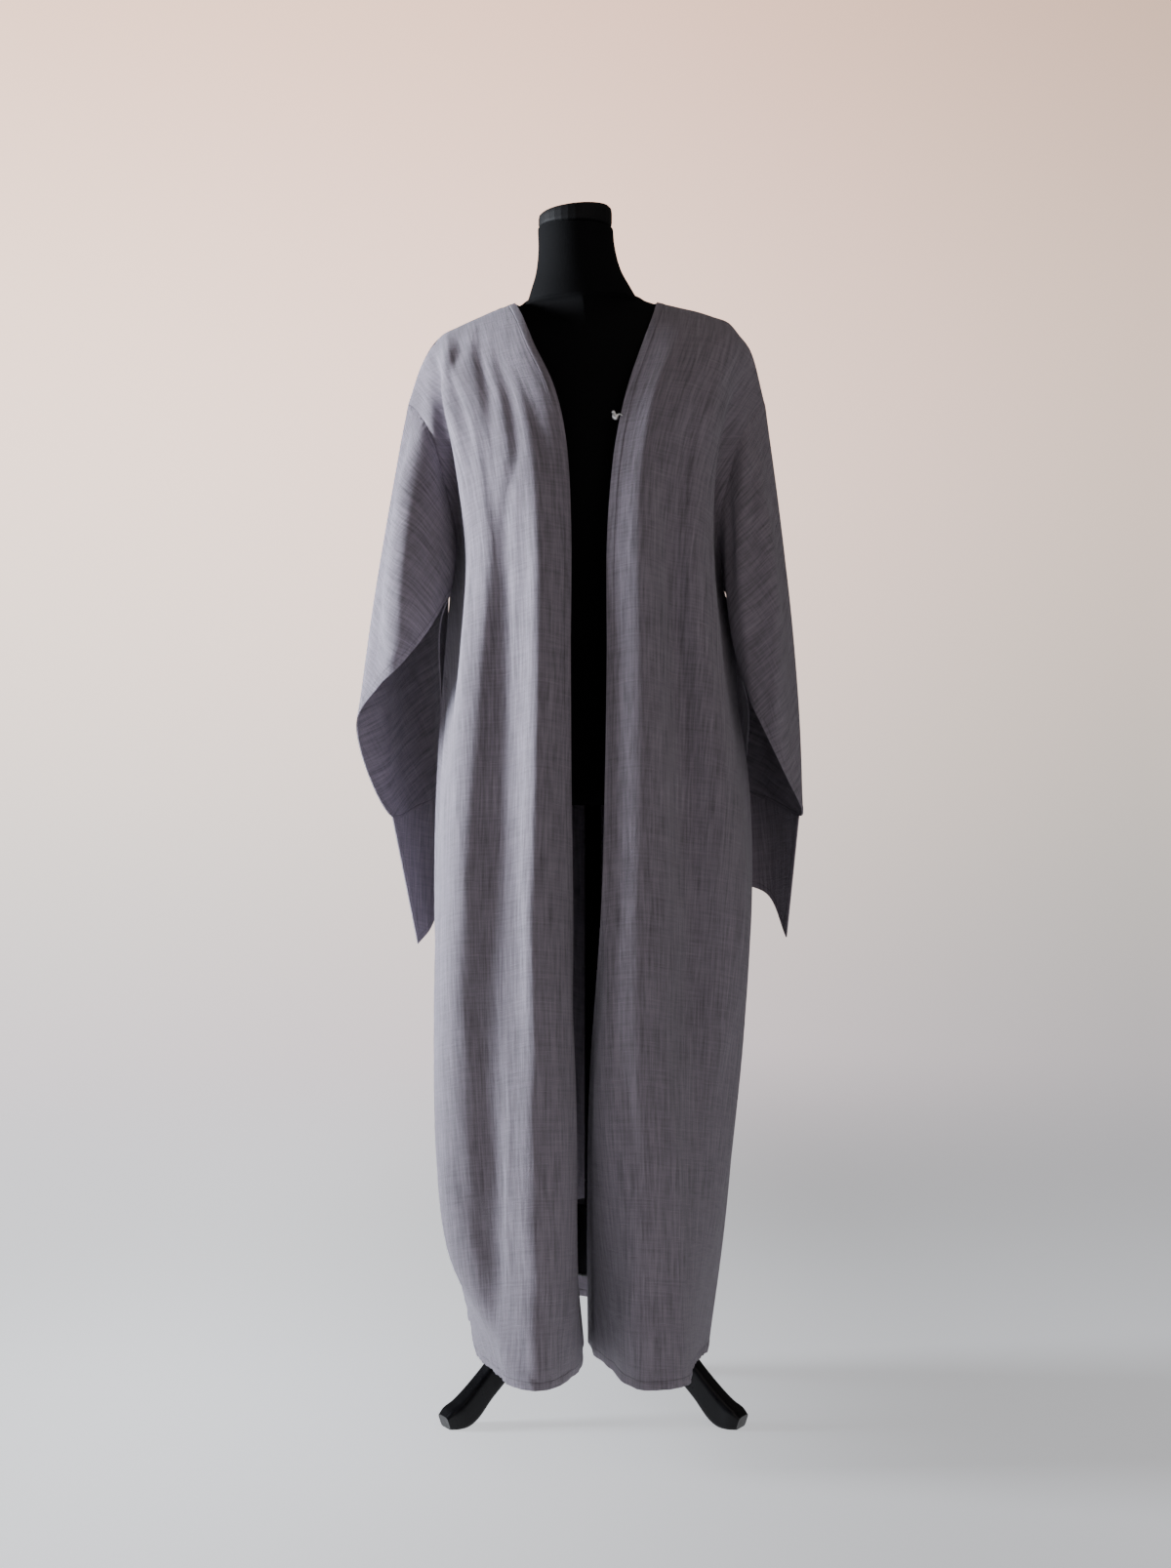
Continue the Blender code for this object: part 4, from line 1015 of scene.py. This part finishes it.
# The pale surroundings that the camera sees, as two ramps multiplied, from the floor up and from the window's
# side across: the axis, the ends along it, and the colours at places between them. The ramp across is painted
# light and shade, lighter on the window's side and darker away from it. The ramp up runs from the floor's
# cool grey to a warm tone, brightest a little above the horizon and darker again at the top.
SEEN_WITH_PAINTED_LIGHT = (
    ("Z", -.30, .35, ((.0, (.43, .42, .45)), (.26, (.43, .40, .43)), (.46, (.62, .575, .52)),
                      (.73, (1.0, .74, .63)), (1.0, (.71, .46, .33)))),
    ("X", -.24, .24, ((.0, (1.0, 1.0, 1.0)), (.5, (.88, .80, .80)), (1.0, (.41, .425, .42)))),
)
SEEN_STRENGTH = 3.0
GLOW, GLOW_STRENGTH = (1.0, .93, .88, 1), .06  # what they light the part with


def make_world():
    n = Nodes(bpy.data.worlds.new("studio"))
    bpy.context.scene.world = n.owner
    n.tree.nodes.clear()
    way = n.add("ShaderNodeTexCoord", {}, "Generated")
    colours = []
    for axis, low, high, stops in SEEN_WITH_PAINTED_LIGHT:
        colours.append(n.add("ShaderNodeValToRGB", {0: n.remap(n.part(way, axis), low, high, 0, 1)}))
        ramp = colours[-1].node.color_ramp
        ramp.interpolation = "B_SPLINE"
        while len(ramp.elements) < len(stops):
            ramp.elements.new(.5)
        for element, (position, colour) in zip(ramp.elements, stops):
            element.position = position
            element.color = (*colour, 1)
    # What the camera sees of the surroundings, with the painted light and shade across them.
    seen = n.add("ShaderNodeBackground", {"Color": n.multiply(*colours), "Strength": SEEN_STRENGTH})
    lit = n.add("ShaderNodeBackground", {"Color": GLOW, "Strength": GLOW_STRENGTH})
    by_camera = n.add("ShaderNodeLightPath", {}, "Is Camera Ray")
    both = n.add("ShaderNodeMixShader", {0: by_camera, 1: lit, 2: seen})
    n.fill(n.tree.nodes.new("ShaderNodeOutputWorld"), {0: both})


# The lights: place, aim, size, power, colour and spread in degrees. The window's two spread little, so that
# their light falls off towards the hem.
LIGHTS = (
    ("window_high", (-3.40, .10, 1.48), (0, 0, 1.30), (1.1, .65), 29, (.89, .91, .98), 53),
    ("window_low", (-3.40, .10, .82), (0, 0, .90), (1.1, .65), 21, (.78, .90, 1.0), 53),
    ("room", (1.3, -3.1, 2.3), (0, 0, 1.0), (2.4, 1.6), 17, (1.0, .92, .89), 180),
    ("ceiling", (.9, -.5, 3.3), (0, 0, .9), (2.4, 2.4), 9, (1.0, .93, .88), 180),
)


def make_lights():
    for name, place, aim, size, power, colour, spread_deg in LIGHTS:
        light = bpy.data.lights.new(name, "AREA")
        light.spread = math.radians(spread_deg)
        light.shape, light.size, light.size_y = "RECTANGLE", *size
        light.energy, light.color = power, colour
        made = bpy.data.objects.new(name, light)
        made.location = place
        made.rotation_euler = (Vector(aim) - Vector(place)).to_track_quat("-Z", "Y").to_euler()
        bpy.context.scene.collection.objects.link(made)


make_camera()
left_front = make_cloak()
make_form()
wood = lacquered_wood()
make_legs(wood)
make_hook(left_front)
finish_cad(wood)
make_floor()
make_world()
make_lights()

bpy.context.view_layer.update()
